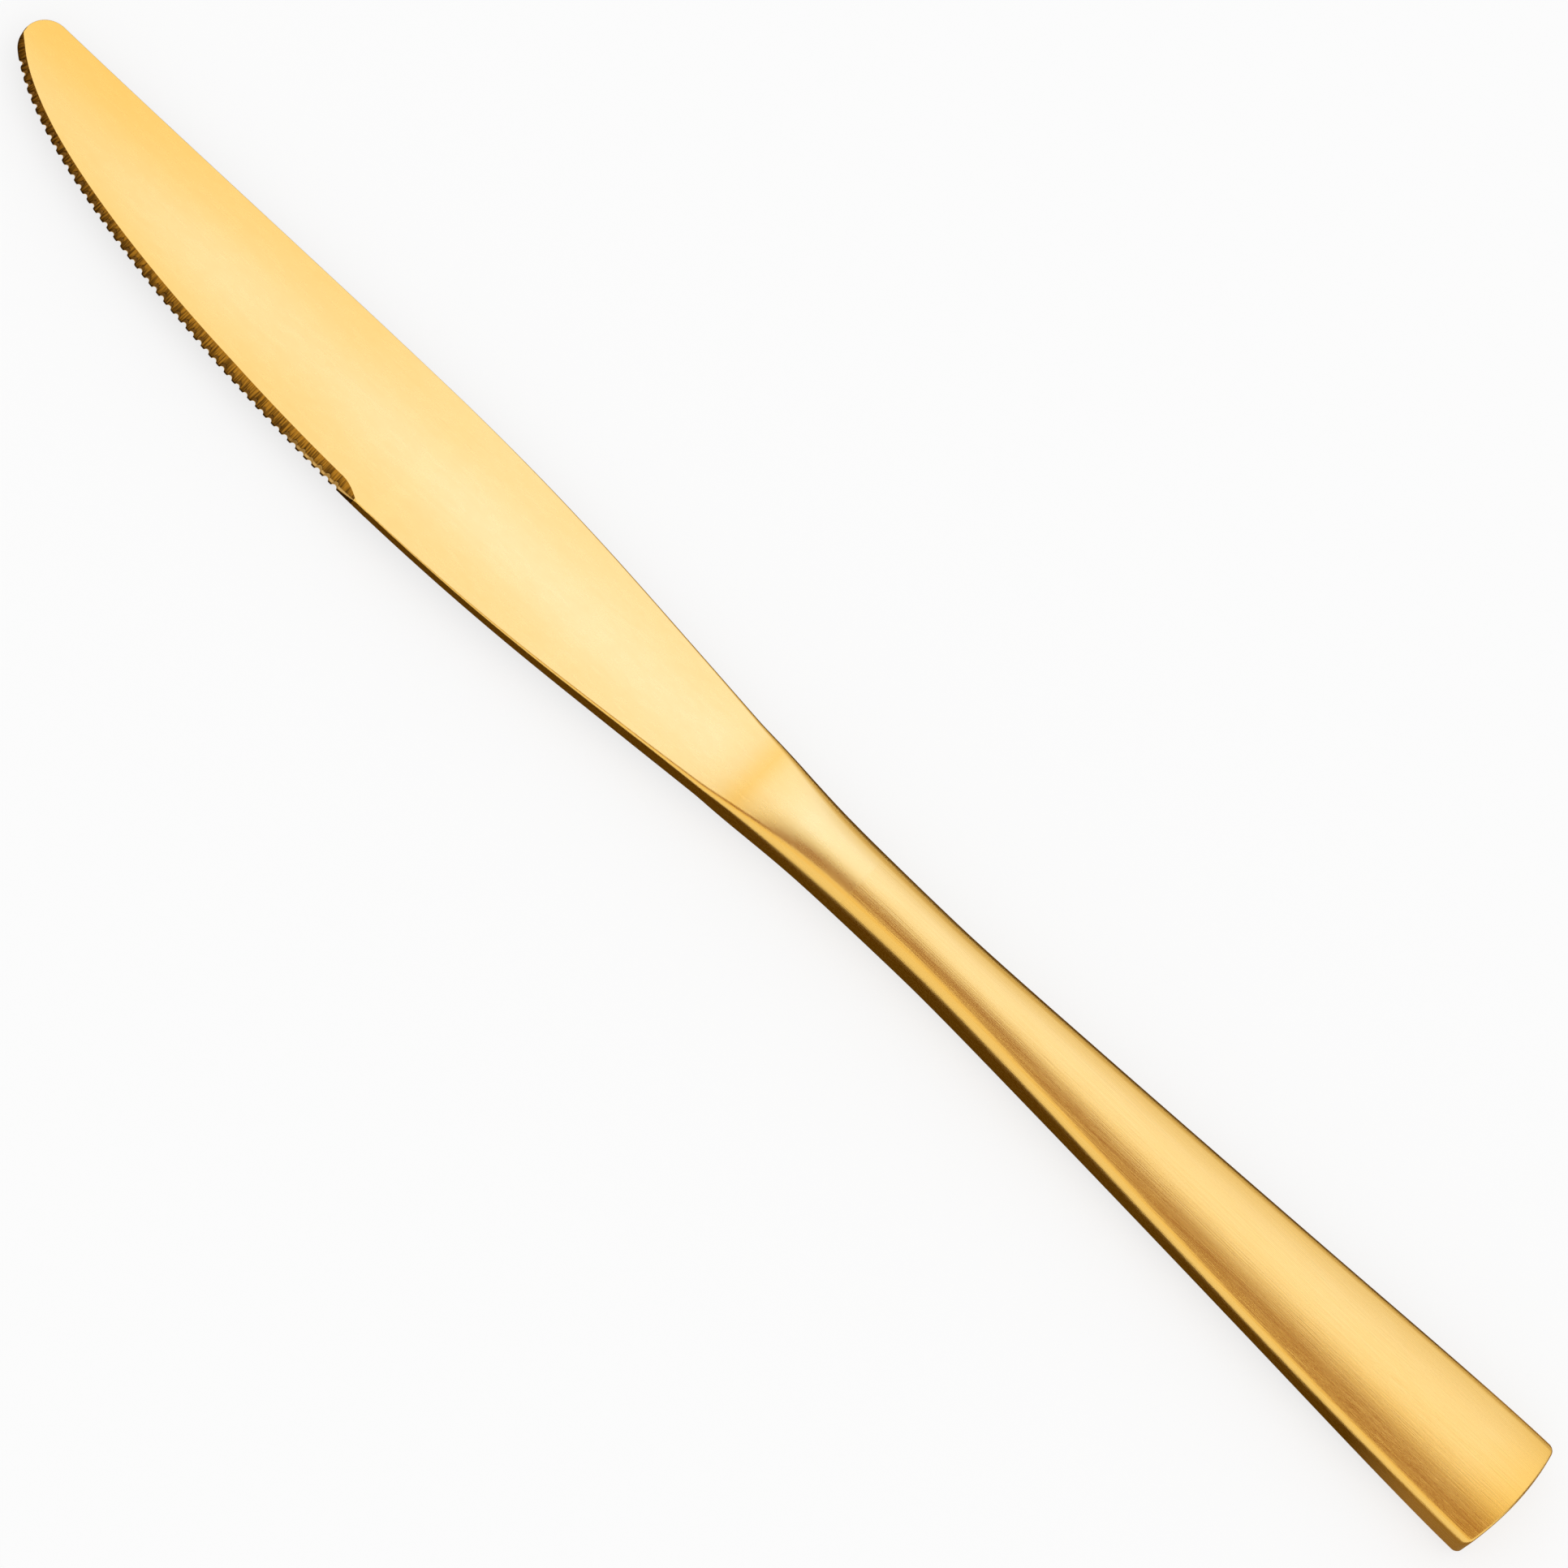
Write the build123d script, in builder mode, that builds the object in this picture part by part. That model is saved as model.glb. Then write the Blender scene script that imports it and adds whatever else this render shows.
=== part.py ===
from build123d import *
from math import cos, radians, sin, sqrt, tan
import os

# A table knife with a hollow handle, lying on its side. All sizes are in millimetres.
# +X runs from the blade's tip to the handle's butt, -Y is the cutting edge, +Y the spine, +Z is up.
# The origin is under the middle of the knife, on the surface that the handle lies on.
# Places along the knife are stations, counted from the tip.

# ---------------------------------------------------------------- overall sizes
overall_length = 230.0
heel_station = 62.0  # the blade's widest place, where the ground edge ends
plain_length = 2.0  # of even width and thickness, between the heel and the waist's curve
neck_station = 142.0  # the handle's narrowest place
joint_station = 131.0  # where the handle is soldered to the bolster

# ---------------------------------------------------------------- outline, seen from above
heel_half_width = 8.6
neck_half_width = 4.1
butt_half_width = 7.8
waist_ease_heel = 33.0  # how far the waist's curve follows the blade's own direction
waist_ease_neck = 38.0
handle_ease_neck = 16.0
handle_ease_butt = 22.0
butt_bow = 0.8  # how far the middle of the butt stands proud of its corners
butt_corner_radius = 1.0
butt_rim_radius = 0.3  # where the butt's end meets the two broad faces
nose_radius = 3.0
spine_at_nose = 8.03
nose_wrap = 47.7  # degrees of the nose's arc past the foremost point
belly_ease_nose = 13.5
belly_ease_heel = 16.0

# ---------------------------------------------------------------- thickness
blade_thickness = 1.8
tip_thickness = 1.4
neck_thickness = 7.1
slim_thickness = 6.1
butt_thickness = 7.3
ramp_thickness = 3.5
ramp_station = 111.0  # where the blade starts to thicken into the handle
slim_station = 194.0  # the handle's thinnest place
plate_ease = 25.0
ramp_ease_blade = 2.0
ramp_ease_neck = 25.0
slim_ease = 20.0
butt_ease = 14.0
outer_pitch = 5.2  # distance between the sections that a form is drawn through
inner_pitch = 10.4
lead_in = 12.0  # the forms start this far in front of the place where they are cut off

# ---------------------------------------------------------------- ground edge and its teeth
bevel_angle = 59.0  # degrees from the blade's face
edge_land = 0.6  # upright part of the edge under the bevel
tooth_count = 47
tooth_depth = 0.35
flute_radius = 0.46
flute_lean = 6.0  # degrees from upright
first_tooth_inset = 1.6  # along the belly, past the nose's arc
last_tooth_inset = 2.6  # along the belly, before the heel
run_out_length = 2.6  # where the grinding wheel leaves the edge
run_out_rise = 1.3

# ---------------------------------------------------------------- inside the handle
shell_wall = 0.9
least_inner_corner = 0.3
seam_gap = 0.16  # thickness of the solder between the two shells
neck_gap = 0.2  # thickness of the solder between bolster and handle
filler_gap = 0.1  # shrinkage of the filler, and room for solder round the spigot
spigot_length = 5.0
tang_length = 52.0
tang_thickness = 3.2
tang_root_half_width = 2.2
tang_end_half_width = 1.5
tang_notch_radius = 0.7
tang_notch_pairs = 4

# ---------------------------------------------------------------- values that follow
mid_height = butt_thickness / 2
root_station = heel_station + plain_length


def at(station):
    """The X of a station counted from the tip."""
    return station - overall_length / 2


def level(height):
    """A horizontal plane, at a height above the knife's middle plane."""
    return Plane.XY.offset(mid_height + height)


# How the section changes along the knife: station, corner radius, and the tilt in degrees that a
# crowned face has reached where it meets the corner. The blade's own faces are flat.
corners = [
    (root_station, 0.1, 0.0),
    (106.0, 0.4, 0.0),
    (114.0, 0.8, 4.0),
    (118.0, 1.3, 8.0),
    (122.0, 2.0, 17.0),
    (126.0, 2.4, 20.0),
    (neck_station, 2.3, 20.5),  # the neck is nearly oval
    (160.0, 1.9, 20.0),
    (200.0, 1.5, 19.0),
    (overall_length, 1.3, 17.0),
]

# ---------------------------------------------------------------- outline curves
heel = Vector(at(heel_station), heel_half_width)
neck = Vector(at(neck_station), neck_half_width)
butt = Vector(at(overall_length), butt_half_width)
waist_curve = Bezier(
    heel,
    heel + Vector(waist_ease_heel, 0),
    neck - Vector(waist_ease_neck, 0),
    neck,
)
handle_curve = Bezier(
    neck,
    neck + Vector(handle_ease_neck, 0),
    butt - Vector(handle_ease_butt, 0),
    butt,
)

# ---------------------------------------------------------------- thickness curves, seen from the side
plate_end = Vector(at(ramp_station), ramp_thickness / 2)
ramp_end = Vector(at(neck_station), neck_thickness / 2)
slim = Vector(at(slim_station), slim_thickness / 2)
butt_end = Vector(at(overall_length), butt_thickness / 2)
plate_curve = Bezier(
    Vector(at(root_station), blade_thickness / 2),
    Vector(at(root_station) + plate_ease, blade_thickness / 2),
    plate_end,
)
ramp_curve = Bezier(
    plate_end,
    plate_end + (plate_curve % 1) * ramp_ease_blade,
    ramp_end - Vector(ramp_ease_neck, 0),
    ramp_end,
)
neck_curve = Bezier(
    ramp_end,
    ramp_end + Vector(slim_ease, 0),
    slim - Vector(slim_ease, 0),
    slim,
)
butt_curve = Bezier(
    slim,
    slim + Vector(butt_ease, 0),
    butt_end - Vector(butt_ease, 0),
    butt_end,
)


def height_of(curve, station):
    """How far a curve stands off the knife's axis at a station."""
    return (curve & Plane.YZ.offset(at(station))).Y


def half_width(station):
    """Half of the knife's width, from the heel to the butt, where its two sides are alike."""
    if station < heel_station:
        return heel_half_width
    return height_of(waist_curve if station < neck_station else handle_curve, station)


def half_thickness(station):
    """Half of the knife's thickness, from the heel to the butt."""
    if station < root_station:
        return blade_thickness / 2
    if station < ramp_station:
        return height_of(plate_curve, station)
    if station < neck_station:
        return height_of(ramp_curve, station)
    return height_of(neck_curve if station < slim_station else butt_curve, station)


def corner_at(station):
    """Corner radius and crown tilt at a station, in between the listed ones."""
    for (start, *low), (end, *high) in zip(corners, corners[1:]):
        if station <= end:
            share = max(station - start, 0.0) / (end - start)
            return [a + (b - a) * share for a, b in zip(low, high)]


def section(station, inset):
    """One section: two crowned faces, two upright sides and four round corners."""
    half = half_width(station) - inset
    peak = half_thickness(station) - inset
    corner, tilt = corner_at(station)
    corner = max(corner - inset, least_inner_corner) if inset else corner
    begin = radians(tilt)
    crown_half = half - corner + corner * sin(begin)
    shoulder = peak - crown_half * tan(begin / 2)
    side = shoulder - corner * cos(begin)
    middle = (begin + radians(90)) / 2
    bend_y = half - corner + corner * sin(middle)
    bend_z = side + corner * cos(middle)
    station_plane = Plane((at(station), 0, mid_height), x_dir=(0, 1, 0), z_dir=(1, 0, 0))
    with BuildSketch(station_plane) as outline:
        with BuildLine():
            if tilt:
                ThreePointArc((-crown_half, shoulder), (0, peak), (crown_half, shoulder))
            else:
                Line((-crown_half, peak), (crown_half, peak))
            ThreePointArc((crown_half, shoulder), (bend_y, bend_z), (half, side))
            Line((half, side), (half, -side))
            ThreePointArc((half, -side), (bend_y, -bend_z), (crown_half, -shoulder))
            if tilt:
                ThreePointArc((crown_half, -shoulder), (0, -peak), (-crown_half, -shoulder))
            else:
                Line((crown_half, -peak), (-crown_half, -peak))
            ThreePointArc((-crown_half, -shoulder), (-bend_y, -bend_z), (-half, -side))
            Line((-half, -side), (-half, side))
            ThreePointArc((-half, side), (-bend_y, bend_z), (-crown_half, shoulder))
        make_face()
    return outline.sketch


def butt_plan(inset, first_station):
    """What is kept of a form seen from above: its end follows the bowed butt."""
    bow_radius = (butt_half_width**2 + butt_bow**2) / (2 * butt_bow)
    half = butt_half_width - inset
    end = at(overall_length) - inset
    corner_x = at(overall_length) - bow_radius + sqrt((bow_radius - inset) ** 2 - half**2)
    front = at(first_station)
    wide = 2 * heel_half_width  # clear of the form's own sides in front of the butt
    shoulder_x = corner_x - 2 * butt_corner_radius
    with BuildSketch(level(0)) as plan:
        with BuildLine():
            Polyline(
                (corner_x, -half),
                (shoulder_x, -half),
                (shoulder_x, -wide),
                (front, -wide),
                (front, wide),
                (shoulder_x, wide),
                (shoulder_x, half),
                (corner_x, half),
            )
            ThreePointArc((corner_x, half), (end, 0), (corner_x, -half))
        make_face()
        fillet(plan.vertices().sort_by(Axis.X)[-2:], butt_corner_radius - inset / 2)
    return plan.sketch


def handle_form(inset, first_station, section_pitch):
    """The outer form of the blade's root and handle, or a form that lies inset inside it."""
    start = first_station - lead_in
    steps = round((overall_length - start) / section_pitch)
    pitch = (overall_length - start) / steps
    outlines = [section(start + pitch * index, inset) for index in range(steps + 1)]
    with BuildPart() as form:
        loft(outlines)
        add(butt_plan(inset, first_station))
        extrude(amount=neck_thickness, both=True, mode=Mode.INTERSECT)
    return form.part


def crosses_butt(edge):
    """Whether an edge lies at the butt and runs more across the knife than along it or up."""
    heading = edge % 0.5
    at_butt = edge.center().X > at(overall_length) - butt_bow
    return at_butt and abs(heading.Y) > max(abs(heading.X), abs(heading.Z))


with BuildPart() as outer:
    add(handle_form(0.0, root_station, outer_pitch))
    fillet(outer.edges().filter_by(crosses_butt), butt_rim_radius)

outer_form = outer.part
cavity_form = handle_form(shell_wall, joint_station, inner_pitch)
core_form = handle_form(shell_wall + filler_gap, joint_station, inner_pitch)

# ---------------------------------------------------------------- blade, bolster and tang
nose_centre = Vector(at(nose_radius), spine_at_nose - nose_radius)
wrap = radians(nose_wrap)
belly_start = nose_centre - Vector(cos(wrap), sin(wrap)) * nose_radius
belly_heading = Vector(sin(wrap), -cos(wrap))
heel_edge = Vector(heel.X, -heel.Y)
with BuildLine() as belly:
    Bezier(
        belly_start,
        belly_start + belly_heading * belly_ease_nose,
        heel_edge - Vector(belly_ease_heel, 0),
        heel_edge,
    )

belly_length = belly.edge().length
run_out_start = belly.edge().trim(0, 1 - run_out_length / belly_length)
run_out_heading = run_out_start % 1
run_out_end = heel_edge + Vector(run_out_length / 4, -run_out_rise)
with BuildLine() as wheel_path:
    Line(belly_start - belly_heading * nose_radius, belly_start)
    add(run_out_start)
    Bezier(
        run_out_start @ 1,
        run_out_start @ 1 + run_out_heading * run_out_length / 2,
        run_out_end,
    )


def flute_plane(index):
    """The plane square to one flute's axis, which leans inward from the edge's lower corner."""
    span = belly_length - first_tooth_inset - last_tooth_inset
    run = first_tooth_inset + span * index / (tooth_count - 1)
    edge_point = belly.edge().position_at(run, position_mode=PositionMode.LENGTH)
    heading = belly.edge().tangent_at(run, position_mode=PositionMode.LENGTH)
    inward = Vector(-heading.Y, heading.X)
    lean = radians(flute_lean)
    return Plane(
        edge_point - inward * (flute_radius - tooth_depth) + lower_face,
        x_dir=heading,
        z_dir=inward * sin(lean) + Vector(0, 0, cos(lean)),
    )


def tang_plan():
    """The tang seen from above: a tapered bar with pairs of round notches that key it in the filler."""
    start = at(joint_station + spigot_length)
    end = start + tang_length
    notch_pitch = tang_length / (tang_notch_pairs + 1)
    taper = (tang_root_half_width - tang_end_half_width) / tang_length
    with BuildSketch(level(0)) as plan:
        with BuildLine():
            Polyline(
                (start, tang_root_half_width),
                (end, tang_end_half_width),
                (end, -tang_end_half_width),
                (start, -tang_root_half_width),
                close=True,
            )
        make_face()
        for index in range(1, tang_notch_pairs + 1):
            run = notch_pitch * index
            edge_y = tang_root_half_width - taper * run
            with Locations((start + run, edge_y), (start + run, -edge_y)):
                Circle(tang_notch_radius, mode=Mode.SUBTRACT)
    return plan.sketch


lower_face = Vector(0, 0, mid_height - blade_thickness / 2)
with BuildPart() as spigot:
    add(core_form)
    split(bisect_by=Plane.YZ.offset(at(joint_station + spigot_length)), keep=Keep.BOTTOM)

with BuildPart() as bolster:
    add(outer_form)
    split(bisect_by=Plane.YZ.offset(at(joint_station)), keep=Keep.BOTTOM)
    add(spigot.part)
    add(tang_plan())
    extrude(amount=tang_thickness / 2, both=True)

with BuildPart() as blade:
    # the fore part, cut from plate to its outline
    with BuildSketch(level(0)):
        with BuildLine():
            root_x = at(root_station)
            root_half = half_width(root_station)
            nose_top = nose_centre + Vector(0, nose_radius)
            nose_tip = nose_centre - Vector(nose_radius, 0)
            spine_ease = (heel.X - nose_top.X) / 3
            Line((root_x, -root_half), (root_x, root_half))
            Line((root_x, root_half), heel)
            Bezier(heel, heel - Vector(spine_ease, 0), nose_top + Vector(spine_ease, 0), nose_top)
            ThreePointArc(nose_top, nose_tip, belly_start)
            add(belly.edge())
            Line(heel_edge, (root_x, -root_half))
        make_face()
    extrude(amount=blade_thickness / 2, both=True)
    # both faces draw in a little towards the tip
    draw_in = (blade_thickness - tip_thickness) / 2 / root_station
    for side in (1, -1):
        face_point = (root_x, 0, mid_height + side * blade_thickness / 2)
        split(bisect_by=Plane(face_point, z_dir=(side * -draw_in, 0, side)), keep=Keep.BOTTOM)
    # the bevel, ground from the upper face only
    wheel_wire = wheel_path.wire().moved(Location(lower_face))
    wheel_plane = Plane(
        wheel_wire @ 0,
        x_dir=Vector(-belly_heading.Y, belly_heading.X),
        z_dir=belly_heading,
    )
    with BuildSketch(wheel_plane):
        reach = 2 * blade_thickness
        with BuildLine():
            Polyline(
                (0, edge_land),
                (reach / tan(radians(bevel_angle)), edge_land + reach),
                (-reach, edge_land + reach),
                (-reach, edge_land),
                close=True,
            )
        make_face()
    sweep(path=wheel_wire, mode=Mode.SUBTRACT)
    # the teeth are what is left between the flutes
    for index in range(tooth_count):
        with BuildSketch(flute_plane(index)):
            Circle(flute_radius)
    extrude(amount=blade_thickness, both=True, mode=Mode.SUBTRACT)
    add(bolster.part)
blade.part.label = "blade"

# ---------------------------------------------------------------- handle shells and solder
mouth_x = at(joint_station) + neck_gap
with BuildPart() as handle_shell:
    add(outer_form)
    split(bisect_by=Plane.YZ.offset(mouth_x), keep=Keep.TOP)
    add(cavity_form, mode=Mode.SUBTRACT)

with BuildPart() as upper_handle_shell:
    add(handle_shell.part)
    split(bisect_by=level(seam_gap / 2), keep=Keep.TOP)
upper_handle_shell.part.label = "upper_handle_shell"

with BuildPart() as lower_handle_shell:
    add(handle_shell.part)
    split(bisect_by=level(-seam_gap / 2), keep=Keep.BOTTOM)
lower_handle_shell.part.label = "lower_handle_shell"

with BuildPart() as seam_solder:
    add(handle_shell.part)
    split(bisect_by=level(seam_gap / 2), keep=Keep.BOTTOM)
    split(bisect_by=level(-seam_gap / 2), keep=Keep.TOP)
seam_solder.part.label = "seam_solder"

with BuildPart() as neck_solder:
    add(outer_form)
    split(bisect_by=Plane.YZ.offset(at(joint_station)), keep=Keep.TOP)
    split(bisect_by=Plane.YZ.offset(mouth_x), keep=Keep.BOTTOM)
    add(cavity_form, mode=Mode.SUBTRACT)
neck_solder.part.label = "neck_solder"

# ---------------------------------------------------------------- filler
with BuildPart() as handle_filler:
    add(core_form)
    split(bisect_by=Plane.YZ.offset(at(joint_station + spigot_length)), keep=Keep.TOP)
    add(tang_plan())
    extrude(amount=tang_thickness / 2, both=True, mode=Mode.SUBTRACT)
handle_filler.part.label = "handle_filler"

# ---------------------------------------------------------------- write the pieces
os.makedirs("parts", exist_ok=True)
export_step(blade.part, "parts/blade.step")
export_step(upper_handle_shell.part, "parts/upper_handle_shell.step")
export_step(lower_handle_shell.part, "parts/lower_handle_shell.step")
export_step(seam_solder.part, "parts/seam_solder.step")
export_step(neck_solder.part, "parts/neck_solder.step")
export_step(handle_filler.part, "parts/handle_filler.step")
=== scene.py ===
from math import cos, pi, radians, sin, tan

import bmesh
import bpy
import numpy as np
from bpy.props import FloatProperty, FloatVectorProperty, IntProperty, PointerProperty
from mathutils import Matrix, Vector


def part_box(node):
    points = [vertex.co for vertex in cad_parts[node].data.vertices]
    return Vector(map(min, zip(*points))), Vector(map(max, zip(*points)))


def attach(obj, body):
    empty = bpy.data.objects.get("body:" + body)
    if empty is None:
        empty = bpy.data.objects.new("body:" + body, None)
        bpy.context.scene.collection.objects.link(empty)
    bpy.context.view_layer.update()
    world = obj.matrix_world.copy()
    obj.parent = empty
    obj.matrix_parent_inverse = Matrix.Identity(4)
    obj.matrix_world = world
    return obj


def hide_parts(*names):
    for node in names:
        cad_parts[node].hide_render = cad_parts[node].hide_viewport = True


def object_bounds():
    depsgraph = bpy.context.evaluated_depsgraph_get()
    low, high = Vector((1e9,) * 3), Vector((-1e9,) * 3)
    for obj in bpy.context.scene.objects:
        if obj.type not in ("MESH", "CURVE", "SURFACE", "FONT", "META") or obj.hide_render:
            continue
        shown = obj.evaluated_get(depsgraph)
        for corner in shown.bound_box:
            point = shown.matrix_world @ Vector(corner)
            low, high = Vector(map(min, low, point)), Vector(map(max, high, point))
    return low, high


bl_info = {
    "name": "Table Knife",
    "version": (1, 0, 0),
    "blender": (4, 5, 0),
    "location": "3D View > Sidebar > Table Knife",
    "description": "Builds a gold-coated table knife with a serrated edge on its packed frame",
    "category": "Add Mesh",
}

BODY = "root"

# The frame: +X runs from the tip to the butt, -Y is the cutting edge, +Z is up. Metres throughout.
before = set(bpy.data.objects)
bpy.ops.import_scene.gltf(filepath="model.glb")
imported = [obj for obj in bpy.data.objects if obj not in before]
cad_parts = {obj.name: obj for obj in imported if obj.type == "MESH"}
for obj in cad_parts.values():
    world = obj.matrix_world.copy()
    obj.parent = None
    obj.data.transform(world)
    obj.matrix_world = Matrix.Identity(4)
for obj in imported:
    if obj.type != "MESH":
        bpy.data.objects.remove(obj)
LOW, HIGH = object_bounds()
MOUTH_LOW, MOUTH_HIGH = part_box("neck_solder")
SEAM_LOW, SEAM_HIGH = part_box("seam_solder")
CORE_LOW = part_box("handle_filler")[0]
TIP = LOW.x
LENGTH = HIGH.x - LOW.x
MIDDLE = (SEAM_LOW.z + SEAM_HIGH.z) / 2


def length(name, description, default):
    """A size in metres that the sidebar shows as a length."""
    return FloatProperty(
        name=name, description=description, default=default, unit="LENGTH", precision=5, min=0.0
    )


def position(name, description, default):
    """A place along an axis, in metres, on either side of the frame's middle."""
    return FloatProperty(name=name, description=description, default=default, unit="LENGTH", precision=5)


def colour(name, description, default):
    """A colour that the sidebar shows as a swatch."""
    return FloatVectorProperty(
        name=name, description=description, default=default, subtype="COLOR", size=3, min=0.0, max=1.0
    )


def angle(name, description, degrees):
    """An angle that the sidebar shows in degrees."""
    return FloatProperty(name=name, description=description, default=radians(degrees), subtype="ANGLE")


def share(name, description, default, highest=1.0):
    """A plain number from nothing to its highest value."""
    return FloatProperty(name=name, description=description, default=default, min=0.0, max=highest)


# ---------------------------------------------------------------- what a user can change


class KnifeOutline(bpy.types.PropertyGroup):
    """The knife's outline, seen from above. Stations are counted from the tip."""

    heel_station: length("Heel", "Station of the blade's widest place, where the teeth end", 0.062)
    root_station: length("Root", "Station where the blade starts to narrow", 0.064)
    neck_station: length("Neck", "Station of the handle's narrowest place", 0.142)
    heel_half_width: length("Heel half width", "Half of the blade's greatest width", HIGH.y)
    neck_half_width: length("Neck half width", "Half of the handle's least width", 0.0041)
    butt_half_width: length("Butt half width", "Half of the handle's greatest width", 0.0078)
    waist_ease_heel: length("Waist ease, heel", "Pull of the waist's curve at the heel", 0.033)
    waist_ease_neck: length("Waist ease, neck", "Pull of the waist's curve at the neck", 0.038)
    handle_ease_neck: length("Handle ease, neck", "Pull of the handle's curve at the neck", 0.016)
    handle_ease_butt: length("Handle ease, butt", "Pull of the handle's curve at the butt", 0.022)
    butt_bow: length("Butt bow", "How far the butt's middle stands proud of its corners", 0.0008)
    butt_corner: length("Butt corner", "Radius of the butt's corners, seen from above", 0.001)
    nose_radius: length("Nose radius", "Radius of the blade's round nose", 0.003)
    spine_at_nose: length("Spine at nose", "Distance of the spine from the knife's axis at the nose", 0.00803)
    nose_wrap: angle("Nose wrap", "Angle of the nose's arc between its foremost point and the belly", 47.7)
    belly_ease_nose: length("Belly ease, nose", "Pull of the belly's curve at the nose", 0.0135)
    belly_ease_heel: length("Belly ease, heel", "Pull of the belly's curve at the heel", 0.016)


class KnifeThickness(bpy.types.PropertyGroup):
    """The knife's thickness along its length, and the form of its sections."""

    tip: length("Tip", "Thickness at the nose", 0.0014)
    blade: length("Blade", "Thickness at the root", 0.0018)
    ramp: length("Ramp foot", "Thickness where the blade starts to rise into the handle", 0.0035)
    neck: length("Neck", "Thickness at the neck", 0.0071)
    slim: length("Slim place", "Least thickness of the handle", 0.0061)
    butt: length("Butt", "Thickness at the butt", HIGH.z - LOW.z)
    ramp_station: length("Ramp foot station", "Where the blade starts to rise", 0.111)
    slim_station: length("Slim station", "Where the handle is thinnest", 0.194)
    plate_ease: length("Plate ease", "Pull of the blade's flat towards the ramp", 0.025)
    ramp_ease_blade: length("Ramp ease, blade", "Pull of the ramp at its foot", 0.002)
    ramp_ease_neck: length("Ramp ease, neck", "Pull of the ramp at the neck", 0.025)
    slim_ease: length("Slim ease", "Pull of the curves at the thin place", 0.020)
    butt_ease: length("Butt ease", "Pull of the last curve on both its ends", 0.014)
    edge_softening: length("Edge softening", "Rounding of the blade's edges", 0.00009)
    rim_radius: length("Rim radius", "Rounding of the butt's rim towards the broad faces", 0.0003)


class KnifeEdge(bpy.types.PropertyGroup):
    """The bevel, ground from the upper face only, and the flutes that leave its teeth."""

    bevel_at_nose: angle("Bevel at the nose", "Angle between bevel and face at the nose", 59.0)
    bevel_at_heel: angle("Bevel at the heel", "Angle between bevel and face towards the heel", 46.0)
    land: length("Land", "Upright part of the edge under the bevel", 0.0006)
    tooth_count: IntProperty(name="Teeth", description="Number of flutes", default=47, min=2)
    tooth_depth: length("Tooth depth", "Depth of a flute at the blade's lower face", 0.00035)
    flute_radius: length("Flute radius", "Radius of the flutes at the heel", 0.00038)
    nose_flute_radius: length("Nose flute radius", "Radius of the flutes at the nose", 0.00025)
    nose_tooth_radius: length("Nose tooth radius", "Radius of the teeth's round crests at the nose", 0.00075)
    flute_lean: angle("Flute lean", "How far a flute leans inward", 6.0)
    crest_rounding: length("Crest rounding", "How softly the flutes meet at a tooth's crest", 0.00006)
    depth_variation: share("Depth variation", "Unevenness of the flutes, as a share of their depth", 0.12)
    seed: IntProperty(name="Seed", description="Seed of the flutes' unevenness", default=7)
    first_inset: length("First tooth", "Distance of the first flute from the nose's arc", 0.0016)
    last_inset: length("Last tooth", "Distance of the last flute from the heel", 0.0026)
    run_out_length: length("Run-out length", "Where the grinding wheel starts to leave the edge", 0.0026)
    run_out_rise: length("Run-out rise", "How far the wheel has left the edge at its end", 0.0013)


class KnifeInside(bpy.types.PropertyGroup):
    """What the handle holds."""

    wall: length("Shell wall", "Thickness of the pressed shells", 0.0009)
    least_corner: length("Least inner corner", "Least radius of the cavity's corners", 0.0003)
    filler_gap: length("Filler gap", "Room between the spigot and the shells", 0.0001)
    tang_length: length("Tang length", "Length of the tang in the filler", 0.052)
    tang_thickness: length("Tang thickness", "Thickness of the tang", 0.0032)
    tang_root: length("Tang root", "Half of the tang's width at the spigot", 0.0022)
    tang_end: length("Tang end", "Half of the tang's width at its end", 0.0015)
    notch_radius: length("Notch radius", "Radius of the tang's notches", 0.0007)
    notch_pairs: IntProperty(name="Notch pairs", description="Pairs of notches in the tang", default=4)


class KnifeFinish(bpy.types.PropertyGroup):
    """Colours and textures of the coating and the cement, with the coating's painted highlight and the
    bevel's painted shade.
    """

    gold: colour("Gold", "Colour of the coating on the handle's sides and at the butt", (0.96, 0.60, 0.15))
    # Painted highlight: the paler gold that level faces take where they would mirror bright surroundings
    highlight_gold: colour("Highlight gold", "Colour in the middle of the blade", (0.99, 0.81, 0.45))
    deep_gold: colour("Deep gold", "Colour where the satin finish is heaviest", (0.93, 0.54, 0.11))
    # How far from the middle line the painted highlight reaches
    highlight_width: length("Highlight width", "How far from the middle line the coating stays pale", 0.003)
    # The bevel's colours: painted shade, darkest at its foot, and a painted highlight line; its grinding
    # marks are real
    bevel_shaded_gold: colour("Bevel shaded gold", "Colour of the coating at the top of the bevel", (0.52, 0.23, 0.022))
    bevel_painted_highlight: colour("Bevel painted highlight", "Colour of the bright line at the bevel's foot", (0.66, 0.38, 0.09))
    bevel_painted_shade: colour("Bevel painted shade", "Colour of the coating at the foot of the bevel", (0.12, 0.05, 0.006))
    cement: colour("Cement", "Colour of the filler", (0.33, 0.31, 0.28))
    cement_grit: colour("Cement grit", "Colour of the filler's grains", (0.16, 0.15, 0.14))
    roughness: share("Roughness", "Roughness of the satin coating", 0.27)
    hairlines: share("Hairlines", "Strength of the lengthwise brushing", 0.22)


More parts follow.
